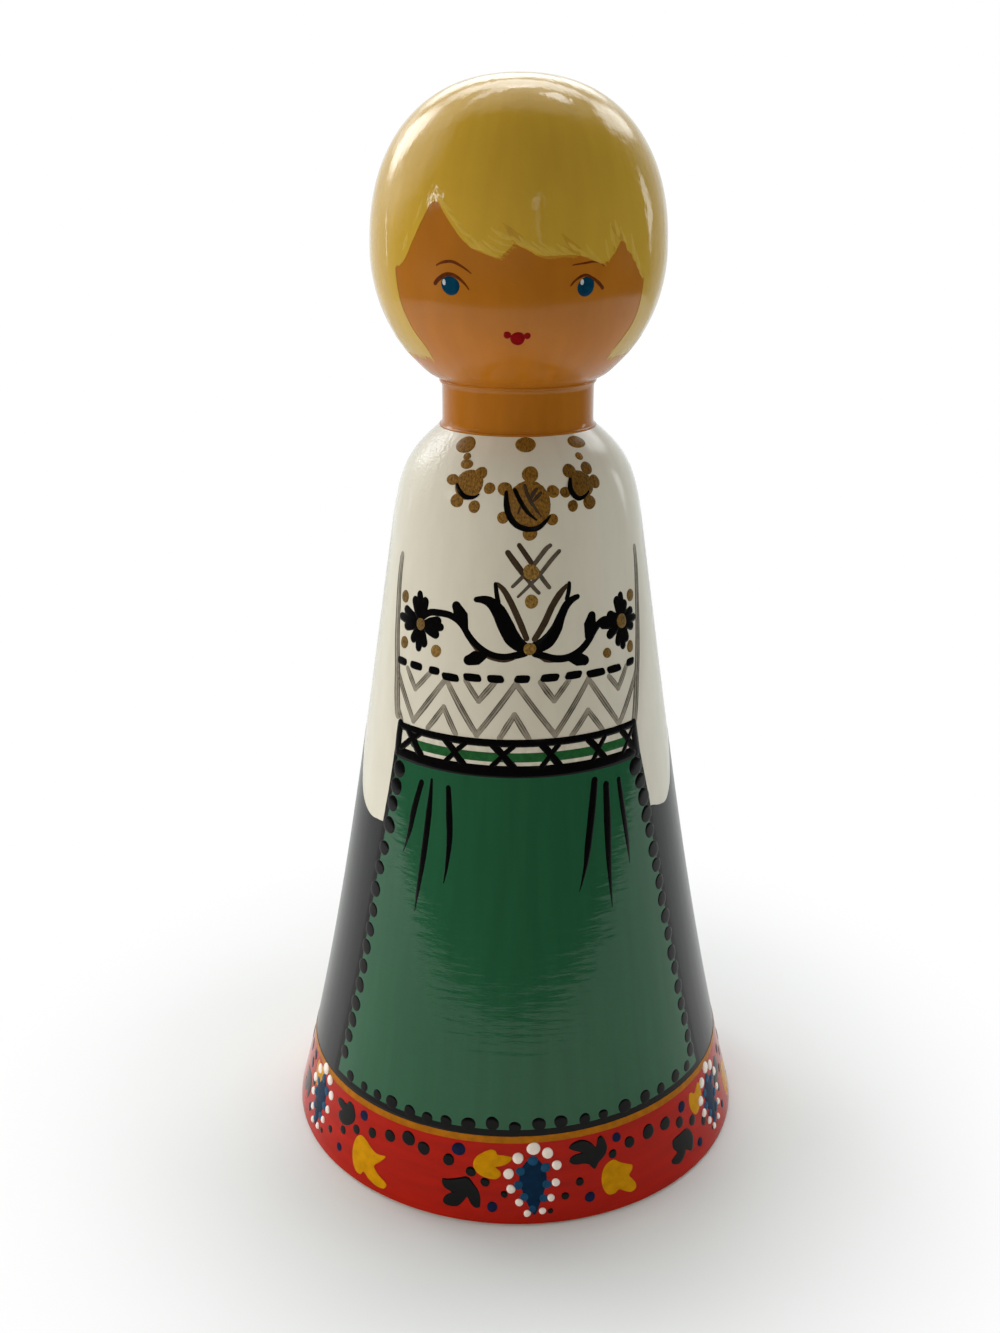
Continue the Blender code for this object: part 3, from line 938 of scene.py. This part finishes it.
BROOCH_MARKS = (
    (((-5.2, 198.8), (-4.8, 195.5), (-3.5, 193), (-0.5, 190.8), (4.5, 189.7), (9, 190), (12.5, 191.6),
      (14.5, 193)), (0.9, 1.5, 1.5, 1.4, 1.3, 1.2, 0.9, 0.4)),
    (((-1.2, 199.3), (1.8, 196.2), (4.6, 193.9), (8.4, 192.0)), (1.0, 1.1, 1.0, 0.4)),
    (((-30, 199.8), (-28, 198.4), (-25, 197.2), (-21, 197.1), (-18, 198)), (0.8, 1.2, 1.2, 0.9, 0.3)),
    (((26.5, 201.3), (25.6, 199.5), (26.5, 197.8), (29, 196.6), (32, 196.8), (35.2, 198)),
     (0.9, 1.4, 1.4, 1.2, 0.8, 0.4)),
)
BROOCH_SHADES = (
    (((3.4, 200.4), (4.6, 198.2), (6.4, 196.2), (10.6, 192.8)), (0.8, 1.0, 0.9, 0.3)),
    (((9, 199.5), (7.4, 198.6), (6.2, 197.2)), (0.7, 1.1, 0.6)),
    (((10.8, 198.6), (9, 197.6), (7, 196.6)), (0.7, 1.0, 0.6)),
    (((1.4, 195.4), (0.2, 193.6)), (0.5, 0.4)),
)


def paint_jewellery():
    """Three bronze brooches with their chains, and the laced cross below them."""
    paint_piece("pale_laces", "pale_wash", strokes, body, PALE_LACES)
    paint_piece("dark_laces", "brown_wash", strokes, body, DARK_LACES)
    powder, right_powder = Paint(), Paint()
    dots(powder, body, BROOCHES)
    dots(right_powder, body, RIGHT_BROOCH)
    dots(powder, body, CHAIN_DOTS, CHAIN_COAT)
    powder.piece("brooches", "bronze_paint")
    # The brooch on the viewer's right takes the darker copy of the bronze: painted shade
    right_powder.piece("right_brooch", "shaded_bronze")
    on_brooch = FIRST_COAT + DOT_RISE
    paint_piece("brooch_marks", "black_paint", strokes, body, BROOCH_MARKS, on_brooch)
    paint_piece("brooch_shades", "brown_wash", strokes, body, BROOCH_SHADES, on_brooch, SHADE_RISE)


# Medallions on the hem: each one's turn, and how far it stands above the front one
MEDALLIONS = ((4.5, 0.0), (64.5, 1.5), (125.0, 0.8), (184.0, 0.0), (-120.0, 0.4), (-64.0, 0.7))
# Their shapes, with turns counted from a medallion's own
LOZENGE = (
    (0, 19.5), (2.4, 17.3), (3.4, 14), (2.9, 10.5), (1.5, 6), (0.2, 3), (-1.4, 6), (-2.9, 10.5), (-3.5, 14),
    (-2.4, 17.3),
)
LOZENGE_DOTS = (
    (0, 18.3, 1.35), (-3.1, 15.4, 1.2), (3.1, 16.2, 1.3), (-3.6, 11.6, 1.2), (3.3, 11.5, 1.2),
    (-2.2, 8.3, 1.1), (2.4, 7.7, 1.1), (-0.3, 4.9, 1.0),
)
PEARLS = (
    (0.2, 21.7, 1.75), (-3.7, 19.1, 1.5), (3.7, 20.2, 1.5), (-6, 14.7, 1.4), (5.9, 16.6, 1.3),
    (-5.4, 10.5, 1.2), (5.5, 11.8, 1.1), (-3.4, 6.8, 1.05), (4.2, 7.7, 1.0), (-1.5, 3.7, 0.95),
    (2.1, 4.2, 0.92),
)
# Sprays between the medallions, as they are on the left and right of the front.
# A black tulip is the place its outline is seen from, and its outline
LEFT_SPRAY = {
    "black_tulips": (
        ((-48.6, 17), (
            (-54.7, 18.4), (-54, 19.4), (-52.5, 19.7), (-51, 19.4), (-50.3, 19.7), (-49.9, 20.5), (-49, 21),
            (-47.6, 20.6), (-46.5, 19.2), (-46, 17.4), (-46.4, 15.8), (-47.8, 14.2), (-49.5, 13.2),
            (-51, 12.9), (-52.6, 13.5), (-53.3, 14.6), (-53.1, 15.6), (-52.2, 16.6), (-53.2, 17),
            (-54.4, 17.6),
        )),
        ((-12.4, 9.4), (
            (-18.1, 10.8), (-17.8, 9.5), (-17, 8.6), (-15.4, 7.9), (-16.5, 7), (-17.3, 5.7), (-17.3, 4.6),
            (-16.5, 4), (-14.9, 3.9), (-13.6, 4.3), (-12.5, 5.5), (-11.3, 7.3), (-10.8, 6.3), (-10.1, 5.1),
            (-9.2, 4.5), (-8.2, 4.8), (-8, 6.5), (-8.2, 8.2), (-8.8, 9.8), (-9.9, 11.3), (-11, 12.7),
            (-12, 13.1), (-13.3, 12.6), (-15, 12), (-16.7, 11.5), (-17.9, 11.3),
        )),
    ),
    "yellow_tulips": (
        ((-42.8, 14), (-41, 13.5), (-39, 12.2), (-36.8, 11.4), (-34, 11.8), (-35.3, 9.8), (-37.1, 7.5),
         (-35.2, 5.6), (-32.6, 4.1), (-33.2, 2.6), (-35.5, 2.3), (-38, 3), (-40.2, 4.2), (-41.2, 2.9),
         (-42.8, 3.1), (-44.3, 5), (-45.2, 8.5), (-44.9, 11.5), (-44.1, 13.2)),
        ((-10.4, 17), (-10, 15.2), (-8.5, 13.8), (-6.5, 13.1), (-4.6, 13), (-3.4, 14), (-3.5, 15.2),
         (-4.8, 16.3), (-3, 16.9), (-1.2, 18), (-0.6, 19.3), (-2.5, 19.8), (-4.3, 20), (-4.8, 21),
         (-6, 21.3), (-8, 20.3), (-9.7, 18.8)),
    ),
    "black_dots": (
        (-50, 11.5, 1.25), (-55.5, 8.3, 1.1), (-59.5, 5.1, 0.8), (-45, 14.5, 1.4), (-39.3, 16.4, 1.5),
        (-33.6, 18.1, 1.75), (-28, 19.6, 2.05), (-23.5, 18.2, 1.85), (-16.6, 16.8, 1.65), (-10.8, 14.5, 1.4),
        (-7.2, 12, 1.25), (-2.5, 9, 0.95),
    ),
    "blue_dots": ((-43, 19.8, 1.5), (-50.3, 6, 1.2), (-14.2, 20.3, 1.85), (-5.3, 5.3, 1.45)),
}
RIGHT_SPRAY = {
    "black_tulips": (
        ((20.3, 18.2), (
            (13.5, 21), (14.2, 22), (15.4, 22.6), (16.8, 22.8), (18.3, 22.3), (19.6, 21.3), (20.9, 19.7),
            (21.2, 21.2), (21.6, 22.4), (22.3, 22.7), (23.1, 21.9), (23.7, 20.3), (23.9, 18.8), (23.4, 17.2),
            (22.4, 16.1), (21.2, 15.1), (20.7, 14.2), (20, 13.6), (19.3, 14.2), (18.7, 15.1), (17.3, 15.7),
            (15.6, 15.8), (14.2, 16.2), (13.5, 17), (13.8, 18.1), (15, 18.8), (16.6, 19.1), (15.6, 19.6),
            (14.4, 20.2),
        )),
        ((48.3, 9.7), (
            (43.6, 11.2), (43.9, 12.4), (45.3, 12.8), (46.8, 12.9), (48.4, 13.1), (49.8, 13), (51, 12.2),
            (51.8, 10.9), (52.2, 9.4), (52, 7.8), (51.5, 6.5), (50.8, 5.6), (50.1, 5.7), (49.2, 6.5),
            (48.4, 6.9), (47.7, 6.2), (46.7, 5.2), (45.4, 4.7), (44.2, 5), (42.6, 6), (42.5, 7.1),
            (43.7, 7.5), (45, 8.1), (44.4, 9), (43.8, 10),
        )),
    ),
    "yellow_tulips": (
        ((25.2, 14.9), (27, 13.6), (29, 12.4), (30.4, 11.5), (30.2, 10.3), (29.2, 9), (30, 7.6), (30.8, 6),
         (30.7, 4.6), (29.2, 4.1), (27.5, 5), (26, 6), (24.8, 5.3), (23, 5.5), (21.8, 7.5), (21.5, 10),
         (22, 12.5), (23.2, 14.2)),
        ((55.3, 13.9), (53.5, 16), (52.9, 18.7), (53.6, 21.4), (54.8, 21.2), (56, 20.2), (57.5, 21.3),
         (58.9, 22.2), (59.8, 20.5), (59.6, 17.5), (58, 15.3)),
    ),
    "black_dots": (
        (16, 11, 1.15), (12.2, 7.7, 1.05), (8.5, 4, 0.75), (25.2, 16.5, 1.25), (30.3, 18.2, 1.65),
        (36.4, 18.8, 2.05), (42.4, 18.4, 1.95), (47.7, 16, 1.65), (53, 13.6, 1.55), (58.3, 10.2, 1.5),
    ),
    "blue_dots": ((26.7, 20.8, 1.35), (18.3, 6.2, 1.45), (49.5, 19.8, 1.6), (54.6, 5.7, 1.35)),
}
# The sprays and how far they are turned: both in front, then again round the back
SPRAYS = (
    (LEFT_SPRAY, 0.0), (RIGHT_SPRAY, 0.0), (LEFT_SPRAY, 122.0), (RIGHT_SPRAY, 120.0), (LEFT_SPRAY, -116.0),
    (RIGHT_SPRAY, -124.0),
)


def paint_hem():
    """Medallions of blue and pearl dots round the hem, with sprays of tulips between them."""
    def moved(places, turn, lift=0.0):
        return [(place[0] + turn, place[1] + lift, *place[2:]) for place in places]

    grounds, steels, pearls, blacks, yellows, blues = (Paint() for _ in range(6))
    for turn, lift in MEDALLIONS:
        blob(grounds, body, moved(LOZENGE, turn, lift), HEM_COAT, BLOB_RISE)
        dots(steels, body, moved(LOZENGE_DOTS, turn, lift), MEDALLION_DOT_COAT)
        dots(pearls, body, moved(PEARLS, turn, lift), HEM_COAT, PEARL_RISE)
    for spray, shift in SPRAYS:
        for middle, outline in spray["black_tulips"]:
            blob(blacks, body, moved(outline, shift), HEM_COAT, BLOB_RISE, *moved((middle,), shift))
        for outline in spray["yellow_tulips"]:
            blob(yellows, body, moved(outline, shift), HEM_COAT, BLOB_RISE)
        dots(blacks, body, moved(spray["black_dots"], shift), HEM_COAT)
        dots(blues, body, moved(spray["blue_dots"], shift), HEM_COAT)
    grounds.piece("medallion_grounds", "navy_paint")
    steels.piece("medallion_dots", "steel_blue_paint")
    blues.piece("blue_dots", "blue_paint")
    pearls.piece("pearls", "pearl_paint")
    blacks.piece("hem_black", "black_paint")
    yellows.piece("yellow_tulips", "yellow_paint")


# Head

# Edge of the hair round the face, in curves that each start where the one before ends
FACE_EDGE = (
    ((-46.5, 226), (-46.4, 230), (-46.5, 233), (-47, 235), (-49.5, 238), (-50.8, 241), (-51.8, 244),
     (-51.9, 250), (-51.4, 255.4)),
    ((-50, 254),),
    ((-47.5, 255), (-45, 256.5), (-41.3, 260.5), (-39.1, 262.9), (-36.9, 265.4), (-34.5, 268)),
    ((-33.4, 269.1), (-31.9, 269.6), (-30.4, 269.4), (-29.5, 268.7)),
    ((-27.4, 266.8), (-25.5, 265.2), (-22.8, 263), (-19.7, 260.7), (-15.6, 259), (-9, 257.6), (-6.3, 257.3)),
    ((-3, 259.1), (0, 261.8)),
    ((2, 260), (5, 258.6), (8, 257.9), (12, 257.6), (19, 257.6)),
    ((21.6, 258.7),),
    ((23.5, 257.8), (26, 256.9), (29, 256.3), (33, 255.6)),
    ((35, 256.8), (37.5, 258.6), (40.2, 261.8)),
    ((43.5, 259.4), (46, 257.2), (49, 254.8), (52, 252.8), (54, 251)),
    ((54.6, 248), (55.2, 243), (54.8, 240), (53.5, 238), (52, 236), (50.5, 234), (50, 231), (50, 226)),
)
FACE_FOOT = 0.1  # how far above the head's lowest ring its coat starts
BOB_HEIGHT = 231.6
BOB_MARGIN = 1.0  # how far below the bob's edge its mesh is looked for

# Brush ends round the bob's lower edge, from cheek to cheek by the back. Widths here and below are at a
# strand's root, the least and most at its middle, and at its tip
BOB_TURNS = (-48.5, -308.0)
BOB_ENDS = 90
BOB_LEAN = 1.6  # degrees by which the tips lean to the front or the back, whichever is nearer
BOB_STRAY = 0.6  # degrees by which each strays from that
BOB_RISES = (4.0, 1.4)  # heights of its start and middle above the edge
BOB_DROPS = (0.1, 1.3)  # how far its tip may hang below the edge
BOB_WIDTHS = (1.2, (2.0, 3.0), 0.4)

# Brush ends along the bangs' edge: first and last end, each strand's run in degrees and rise, how many
# there are, and how far thin paint feathers out beyond them
BANG_ENDS = (
    ((-48.4, 256.2), (-35.6, 269.4), -2.6, 4.6, 7, 0.2),
    ((-25.4, 268.2), (-14.9, 260.4), 6.0, 3.5, 9, 0.2),
    ((-12.6, 258.6), (-6.2, 257.0), 6.6, 3.4, 9, 0.9),
    ((-5.4, 257.6), (-0.7, 260.9), 7.5, 2.4, 8, 0.9),
    ((2, 259.8), (9, 257.6), 7.0, 3.4, 8, 0.7),
    ((10, 257.4), (20, 257.6), 8.0, 2.6, 11, 0.9),
    ((22.6, 258.0), (32.6, 255.4), 7.0, 3.2, 10, 0.9),
    ((33.8, 255.8), (39.4, 260.8), 2.4, 4.6, 8, 0.7),
    ((41.6, 260.6), (53, 251.6), 3.4, 4.8, 9, 0.2),
)
BANG_STRAY = 0.3  # share of the gap between ends by which one strays
BANG_SPREAD = (0.8, 1.25)  # shares of the run and of the rise that a strand takes
BANG_BEND = (0.5, 0.36)  # shares of its run and rise at its middle
BANG_WIDTHS = (0.8, (1.1, 1.7), 0.3)
TIP_EVERY = 3  # one strand in so many has a paler tip
TIP_WIDTHS = (0.4, (0.9, 1.5), 0.3)
FRINGE_WIDTHS = (0.8, 1.7, 0.3)  # the same for all
FEATHER_SPREAD = (0.5, 1.0)
FEATHER_DRIFT = 0.15  # share of the run by which a feathered end goes on

# Thin places between the locks where the flesh shows through
PARTINGS = (
    (((0.0, 261.2), (-2.6, 262.7), (-5.4, 264.6)), (2.2, 1.8, 0.4)),
    (((-1.2, 260.6), (-4.6, 261.8), (-8, 263.2)), (0.9, 0.8, 0.2)),
    (((21.4, 258.3), (18.4, 260.0), (15.4, 262.2)), (2.0, 1.7, 0.4)),
    (((19.8, 258.0), (16.4, 259.0), (12.8, 260.4)), (0.8, 0.7, 0.2)),
    (((40.0, 261.2), (37.6, 262.2), (34, 264.6)), (1.6, 1.3, 0.3)),
    (((36.2, 258.2), (36.6, 260.2), (36.4, 262.4)), (0.5, 0.8, 0.2)),
)

# Beads of lacquer round the neck's joints: radius, height, half width and half height
BEADS = ((21.15, 211.4, 0.42, 0.45), (21.0, 223.45, 0.36, 0.5))
BEAD_STATIONS = 120
BEAD_SIDES = 12
# Waves in a bead: how many go round, and how large they are
BEAD_SWELLS = ((3, 0.10), (7, 0.07))
BEAD_SHIFTS = ((4, 0.08), (9, 0.05))


def bead(paint, radius, height, wide, tall):
    """Add a slightly uneven bead of lacquer round a joint."""
    turn = np.linspace(0.0, math.tau, BEAD_STATIONS + 1)[:, None]
    side = np.arange(BEAD_SIDES) * math.tau / BEAD_SIDES

    def waves(rows):
        return sum(size * np.sin(count * turn + brush.uniform(0.0, math.tau)) for count, size in rows)

    swell = 1.0 + waves(BEAD_SWELLS)
    shift = waves(BEAD_SHIFTS)
    reach = radius + wide * swell * np.cos(side)
    level = height + shift + tall * swell * np.sin(side)
    points = np.stack((reach * np.sin(turn), -reach * np.cos(turn), level), axis=-1)
    paint.add(points, tube_faces(*points.shape[:2]))


def paint_flesh():
    """Flesh coat on neck and head."""
    throat = Paint()
    coat(throat, neck, everywhere, (neck.height[0], neck.height[-1]), FIRST_COAT, spacing=0.9)
    for row in BEADS:
        bead(throat, *row)
    throat.piece("neck_coat", "flesh_lacquer", "flesh_lacquer")
    face = {"heights": (head.height[0] + FACE_FOOT, head.height[-1]), "top": FIRST_COAT, "spacing": 1.2}
    paint_piece("face_coat", "face_lacquer", coat, head, everywhere, **face, slot="flesh_lacquer")


def hair_edge():
    """An inside function for the hair: above the bob's edge and outside the face's."""
    edge = []
    start = ()
    for curve in FACE_EDGE:
        flat, degree = flat_path(head, (*start, *curve))
        line = smooth_line(flat, EDGE_STEP)[0] / (degree, 1.0)
        edge += [(turn, np.interp(length, head.length, head.height)) for turn, length in line[:-1]]
        start = curve[-1:]
    face = region(head, edge)

    def inside(turn, length):
        return np.minimum(length - head.up(BOB_HEIGHT), -face(turn, length))

    return inside


def strand_widths(root, middle, tip):
    """Widths along a strand, with one taken by chance for its middle."""
    return root, brush.uniform(*middle), tip


def add_bob_ends(hair):
    """Add the ends that the brush left along the bob's lower edge."""
    start, middle = BOB_RISES
    for turn in np.linspace(*BOB_TURNS, BOB_ENDS):
        lean = BOB_LEAN * math.cos(math.radians(turn)) * (1.0 if turn > -180.0 else -1.0)
        lean += brush.uniform(-BOB_STRAY, BOB_STRAY)
        tip = BOB_HEIGHT - brush.uniform(*BOB_DROPS)
        path = ((turn - lean, BOB_HEIGHT + start), (turn, BOB_HEIGHT + middle), (turn + lean, tip))
        stroke(hair, head, path, strand_widths(*BOB_WIDTHS), BOB_END_COAT)


def add_bang_ends(hair, tips, fringe):
    """Add the ends along the bangs' edge, the paler tips of some and the thin paint beyond them."""
    for first, last, run, rise, count, feather in BANG_ENDS:
        for i in range(count):
            stray = brush.uniform(-BANG_STRAY, BANG_STRAY)
            turn, height = toward(first, last, (i + stray) / (count - 1.0))
            back = run * brush.uniform(*BANG_SPREAD)
            high = rise * brush.uniform(*BANG_SPREAD)
            root = (turn - back, height + high)
            bend = (turn - BANG_BEND[0] * back, height + BANG_BEND[1] * high)
            path = (root, bend, (turn, height))
            stroke(hair, head, path, strand_widths(*BANG_WIDTHS), BANG_END_COAT, SHADE_RISE)
            if i % TIP_EVERY == 1:
                stroke(tips, head, path, strand_widths(*TIP_WIDTHS), HAIR_COAT, STREAK_RISE)
            reach = feather * brush.uniform(*FEATHER_SPREAD)
            beyond = (turn + FEATHER_DRIFT * back * reach, height - reach)
            stroke(fringe, head, (root, bend, beyond), FRINGE_WIDTHS, rise=SHADE_RISE)


def paint_hair():
    """Blond bob with swept bangs and partings."""
    hair, tips, fringe = Paint(), Paint(), Paint()
    coat(hair, head, hair_edge(), (BOB_HEIGHT - BOB_MARGIN, head.height[-1]), HAIR_COAT, spacing=0.85)
    add_bob_ends(hair)
    add_bang_ends(hair, tips, fringe)
    hair.piece("hair", "hair_lacquer", "hair_lacquer")
    tips.piece("hair_tips", "tip_blond", "hair_lacquer")
    fringe.piece("hair_fringe", "fringe_brown", "hair_lacquer")
    layer = (HAIR_COAT, PARTING_RISE)
    paint_piece("hair_partings", "parting_brown", strokes, head, PARTINGS, *layer, slot="hair_lacquer")


IRISES = ((-25.4, 250.2, (2.35, 2.3)), (25.2, 250, (2.2, 2.3)))
GLINTS = ((-27.7, 251, (0.45, 0.7)), (23.4, 251.1, (0.45, 0.65)))
LIDS = (
    (((-31.7, 250.6), (-29.5, 251.9), (-26.5, 252.8), (-23.5, 252.6), (-20.5, 251.3), (-18.2, 249.4)),
     (0.9, 1.0, 1.0, 0.8, 0.6, 0.3)),
    (((19.2, 250.3), (21.5, 251.9), (24.5, 252.7), (27.5, 252), (30.3, 250.8), (32.3, 249.5)),
     (0.3, 0.5, 0.7, 0.6, 0.8, 0.8)),
)
BROWS = (
    (((-30.5, 254.9), (-27.5, 255.7), (-24, 255.8), (-20.5, 254.8), (-17, 253.2)),
     (0.4, 0.7, 0.75, 0.6, 0.3)),
    (((19.5, 255.1), (24, 255.5), (29, 255.8), (32, 254.8)), (0.3, 0.5, 0.6, 0.35)),
)
MOUTH = ((-0.2, 237.6, 1.78), (-4.4, 238.5, 0.95), (3.7, 238.3, 0.85))


def paint_face():
    """Eyes, brows and a mouth of three dots."""
    for name, paint, shape, rows, *layer in (
        ("irises", "iris_blue", dots, IRISES),
        ("eye_glints", "glint_white", dots, GLINTS, GLINT_COAT, GLINT_RISE),
        ("eyelids", "lid_brown", strokes, LIDS, LID_COAT),
        ("eyebrows", "brow_brown", strokes, BROWS),
        ("mouth", "mouth_red", dots, MOUTH),
    ):
        paint_piece(name, paint, shape, head, rows, *layer, slot="flesh_lacquer")


# Stage, in metres

CAMERA_PLACE = (0.0, -0.38477, 0.27393)
CAMERA_PITCH = math.radians(19.097)  # down from level
CAMERA_YAW = math.radians(0.727)  # to the left
CAMERA_NEAR = 0.01
FOCAL_PIXELS = 1400.0
FRAME_HEIGHT = 1333.0
SENSOR = 36.0  # millimetres


def set_camera():
    """Camera at the photograph's place and angle."""
    data = bpy.data.cameras.new("camera")
    data.sensor_width = SENSOR
    data.lens = SENSOR * FOCAL_PIXELS / FRAME_HEIGHT
    data.clip_start = CAMERA_NEAR
    camera = bpy.data.objects.new("camera", data)
    camera.location = CAMERA_PLACE
    camera.rotation_euler = (math.radians(90.0) - CAMERA_PITCH, 0.0, CAMERA_YAW)
    bpy.context.scene.collection.objects.link(camera)
    bpy.context.scene.camera = camera


LAMP_AIM = Vector((0.0, 0.0, 0.26))  # the place that the lamps face
COOL = (0.94, 0.985, 1.0)
WARM = (1.0, 0.94, 0.84)
PURE = (1.0, 1.0, 1.0)
# Lamps: azimuth and elevation in degrees, distance, width, height, radiance and tint
LAMPS = {
    "front_fill": (-20.0, 8.0, 1.1, 1.3, 1.0, 1.55, WARM),
    "left_fill": (-70.0, 3.0, 0.9, 0.5, 0.5, 1.0, WARM),
    "left_low_fill": (-72.0, -15.0, 0.55, 0.3, 0.2, 4.0, COOL),
    "left_back_fill": (-120.0, 8.0, 0.9, 0.5, 0.5, 0.9, COOL),
    "right_fill": (92.0, 4.0, 0.9, 0.5, 0.5, 4.5, COOL),
    "head_fill": (-78.0, 38.0, 0.4, 0.2, 0.2, 0.9, WARM),
    "crown_fill": (180.0, 65.0, 0.25, 0.15, 0.15, 4.0, WARM),
}


def aim(azimuth, elevation):
    """Direction to a place seen from the doll: azimuth from the front, positive to the viewer's right."""
    turn, rise = math.radians(azimuth), math.radians(elevation)
    return Vector((math.sin(turn) * math.cos(rise), -math.cos(turn) * math.cos(rise), math.sin(rise)))


def set_lamps():
    """Soft fill light from the front, the sides and above, that the gloss doesn't show."""
    for name, (azimuth, elevation, distance, width, height, radiance, tint) in LAMPS.items():
        data = bpy.data.lights.new(name, "AREA")
        data.shape = "RECTANGLE"
        data.size = width
        data.size_y = height
        data.energy = radiance * math.pi * width * height
        data.color = tint
        lamp = bpy.data.objects.new(name, data)
        way = aim(azimuth, elevation)
        lamp.location = LAMP_AIM + way * distance
        lamp.rotation_euler = way.to_track_quat("Z", "Y").to_euler()
        lamp.visible_camera = False
        lamp.visible_glossy = False
        bpy.context.scene.collection.objects.link(lamp)


# Soft lights the gloss shows: azimuth, elevation, half width, half height and roll in degrees, then level
WINDOWS = (
    (-133.5, 28.0, 14.0, 18.5, 28.0, 4.1),  # left window
    (-114.0, 30.0, 36.0, 34.0, 0.0, 1.1),  # its glow
    (-147.5, 21.0, 9.0, 8.5, 0.0, 0.8),  # pale wall beside it
    (-121.0, 1.0, 1.4, 9.0, 0.0, 2.4),  # window post, left
    (118.5, 9.0, 5.6, 15.0, 4.0, 2.5),  # right strip
    (138.5, 34.5, 12.0, 19.0, 52.0, 2.9),  # right window
    (151.0, 59.0, 9.0, 5.5, 0.0, 4.2),  # small lamp above it
    (-163.0, 57.0, 20.0, 3.6, 18.0, 2.2),  # ceiling strip
    (-178.0, 27.0, 26.0, 10.0, 0.0, 2.0),  # back window
    (180.0, 47.0, 34.0, 10.0, 0.0, 2.8),  # ceiling, far edge
    (180.0, 70.0, 44.0, 24.0, 0.0, 0.7),  # ceiling
    (-72.6, 18.0, 1.1, 6.4, -7.0, 11.0),  # spark on the bangs, left stroke
    (-68.2, 19.5, 1.1, 6.8, 51.0, 11.0),  # the same, right stroke
    (14.5, 21.0, 4.4, 5.6, 0.0, 1.3),  # faint spot over the brow
    (16.0, 8.0, 3.4, 11.0, 0.0, 0.6),  # its tail
)
WINDOW_SOFTNESS = 0.45  # share of a window's reach at which it begins to fade
WINDOW_FRONT = (0.0, 0.2)  # share of its axis in a direction where it comes in, so none shows opposite
WINDOW_AWAY = 2.0  # what is added to the reach behind it
ROOM_AXIS = (-0.12, 0.98, 0.12)
ROOM_SPAN = (0.1, 1.0)  # share of that axis in a direction, where the room is dim and where it is white
ROOM_LEVELS = (0.04, 1.0)


def window_level(tree, way, azimuth, elevation, half_width, half_height, roll, level):
    """Brightness that one soft-edged window adds in a direction."""
    ahead = aim(azimuth, elevation)
    turned = ahead.to_track_quat("Z", "Y") @ Quaternion((0.0, 0.0, 1.0), math.radians(roll))
    across = turned @ Vector((1.0, 0.0, 0.0)) / math.sin(math.radians(half_width))
    along = turned @ Vector((0.0, 1.0, 0.0)) / math.sin(math.radians(half_height))
    x, y, front = (vector_math(tree, "DOT_PRODUCT", way, axis) for axis in (across, along, ahead))
    behind = ranged(tree, front, *WINDOW_FRONT, WINDOW_AWAY, 0.0, "LINEAR")
    offset = add_node(tree, "CombineXYZ", {0: x, 1: y, 2: behind}).outputs[0]
    return ranged(tree, vector_math(tree, "LENGTH", offset), 1.0, WINDOW_SOFTNESS, 0.0, level)


def set_world():
    """White behind the doll with soft windows, dim in front of it, and plain white to the camera."""
    world = bpy.data.worlds.new("world")
    world.use_nodes = True
    bpy.context.scene.world = world
    tree = world.node_tree
    tree.nodes.clear()
    way = add_node(tree, "TexCoord").outputs["Generated"]
    total = ranged(tree, vector_math(tree, "DOT_PRODUCT", way, ROOM_AXIS), *ROOM_SPAN, *ROOM_LEVELS)
    for window in WINDOWS:
        total = number_math(tree, "ADD", total, window_level(tree, way, *window))
    lit = add_node(tree, "Background", {"Strength": total, "Color": opaque(COOL)}).outputs[0]
    white = add_node(tree, "Background", {"Strength": 1.0, "Color": opaque(PURE)}).outputs[0]
    camera_ray = add_node(tree, "LightPath").outputs["Is Camera Ray"]
    mixed = add_node(tree, "MixShader", {0: camera_ray, 1: lit, 2: white}).outputs[0]
    add_node(tree, "OutputWorld", {"Surface": mixed})


# Round table top
FLOOR_GREY = (0.75, 0.75, 0.74)
FLOOR_MIDDLE = (0.03, 0.31)
FLOOR_RADIUS = 0.66
FLOOR_SIDES = 96
FLOOR_FADE = (0.07, 0.18)  # distances from the doll between which it runs out to white


def set_floor():
    """Pale floor that keeps the doll's shadow and runs out to white."""
    mesh = bpy.data.meshes.new("floor")
    turns = [math.tau * i / FLOOR_SIDES for i in range(FLOOR_SIDES)]
    x, y = FLOOR_MIDDLE
    rim = [(x + FLOOR_RADIUS * math.cos(turn), y + FLOOR_RADIUS * math.sin(turn), 0.0) for turn in turns]
    mesh.from_pydata(rim, [], [range(FLOOR_SIDES)])
    material, tree, _ = new_material("floor")
    tree.nodes.clear()
    fade = ranged(tree, vector_math(tree, "LENGTH", object_place(tree)), *FLOOR_FADE)
    camera_ray = add_node(tree, "LightPath").outputs["Is Camera Ray"]
    share = number_math(tree, "MULTIPLY", camera_ray, fade)
    plain = add_node(tree, "BsdfDiffuse", {"Color": opaque(FLOOR_GREY)}).outputs[0]
    white = add_node(tree, "Emission", {"Strength": 1.0}).outputs[0]
    mixed = add_node(tree, "MixShader", {0: share, 1: plain, 2: white}).outputs[0]
    add_node(tree, "OutputMaterial", {"Surface": mixed})
    mesh.materials.append(material)
    floor = bpy.data.objects.new("floor", mesh)
    bpy.context.scene.collection.objects.link(floor)


def finish_blanks():
    """Give the turned blanks under the paint their bare wood."""
    wood = bare_wood()
    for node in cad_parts.values():
        node.data.materials.clear()
        node.data.materials.append(wood)


finish_blanks()
paint_coats()
paint_apron()
paint_belt()
paint_waist()
paint_embroidery()
paint_jewellery()
paint_hem()
paint_flesh()
paint_hair()
paint_face()
set_floor()
set_world()
set_lamps()
set_camera()
bpy.context.scene.view_settings.view_transform = "Standard"
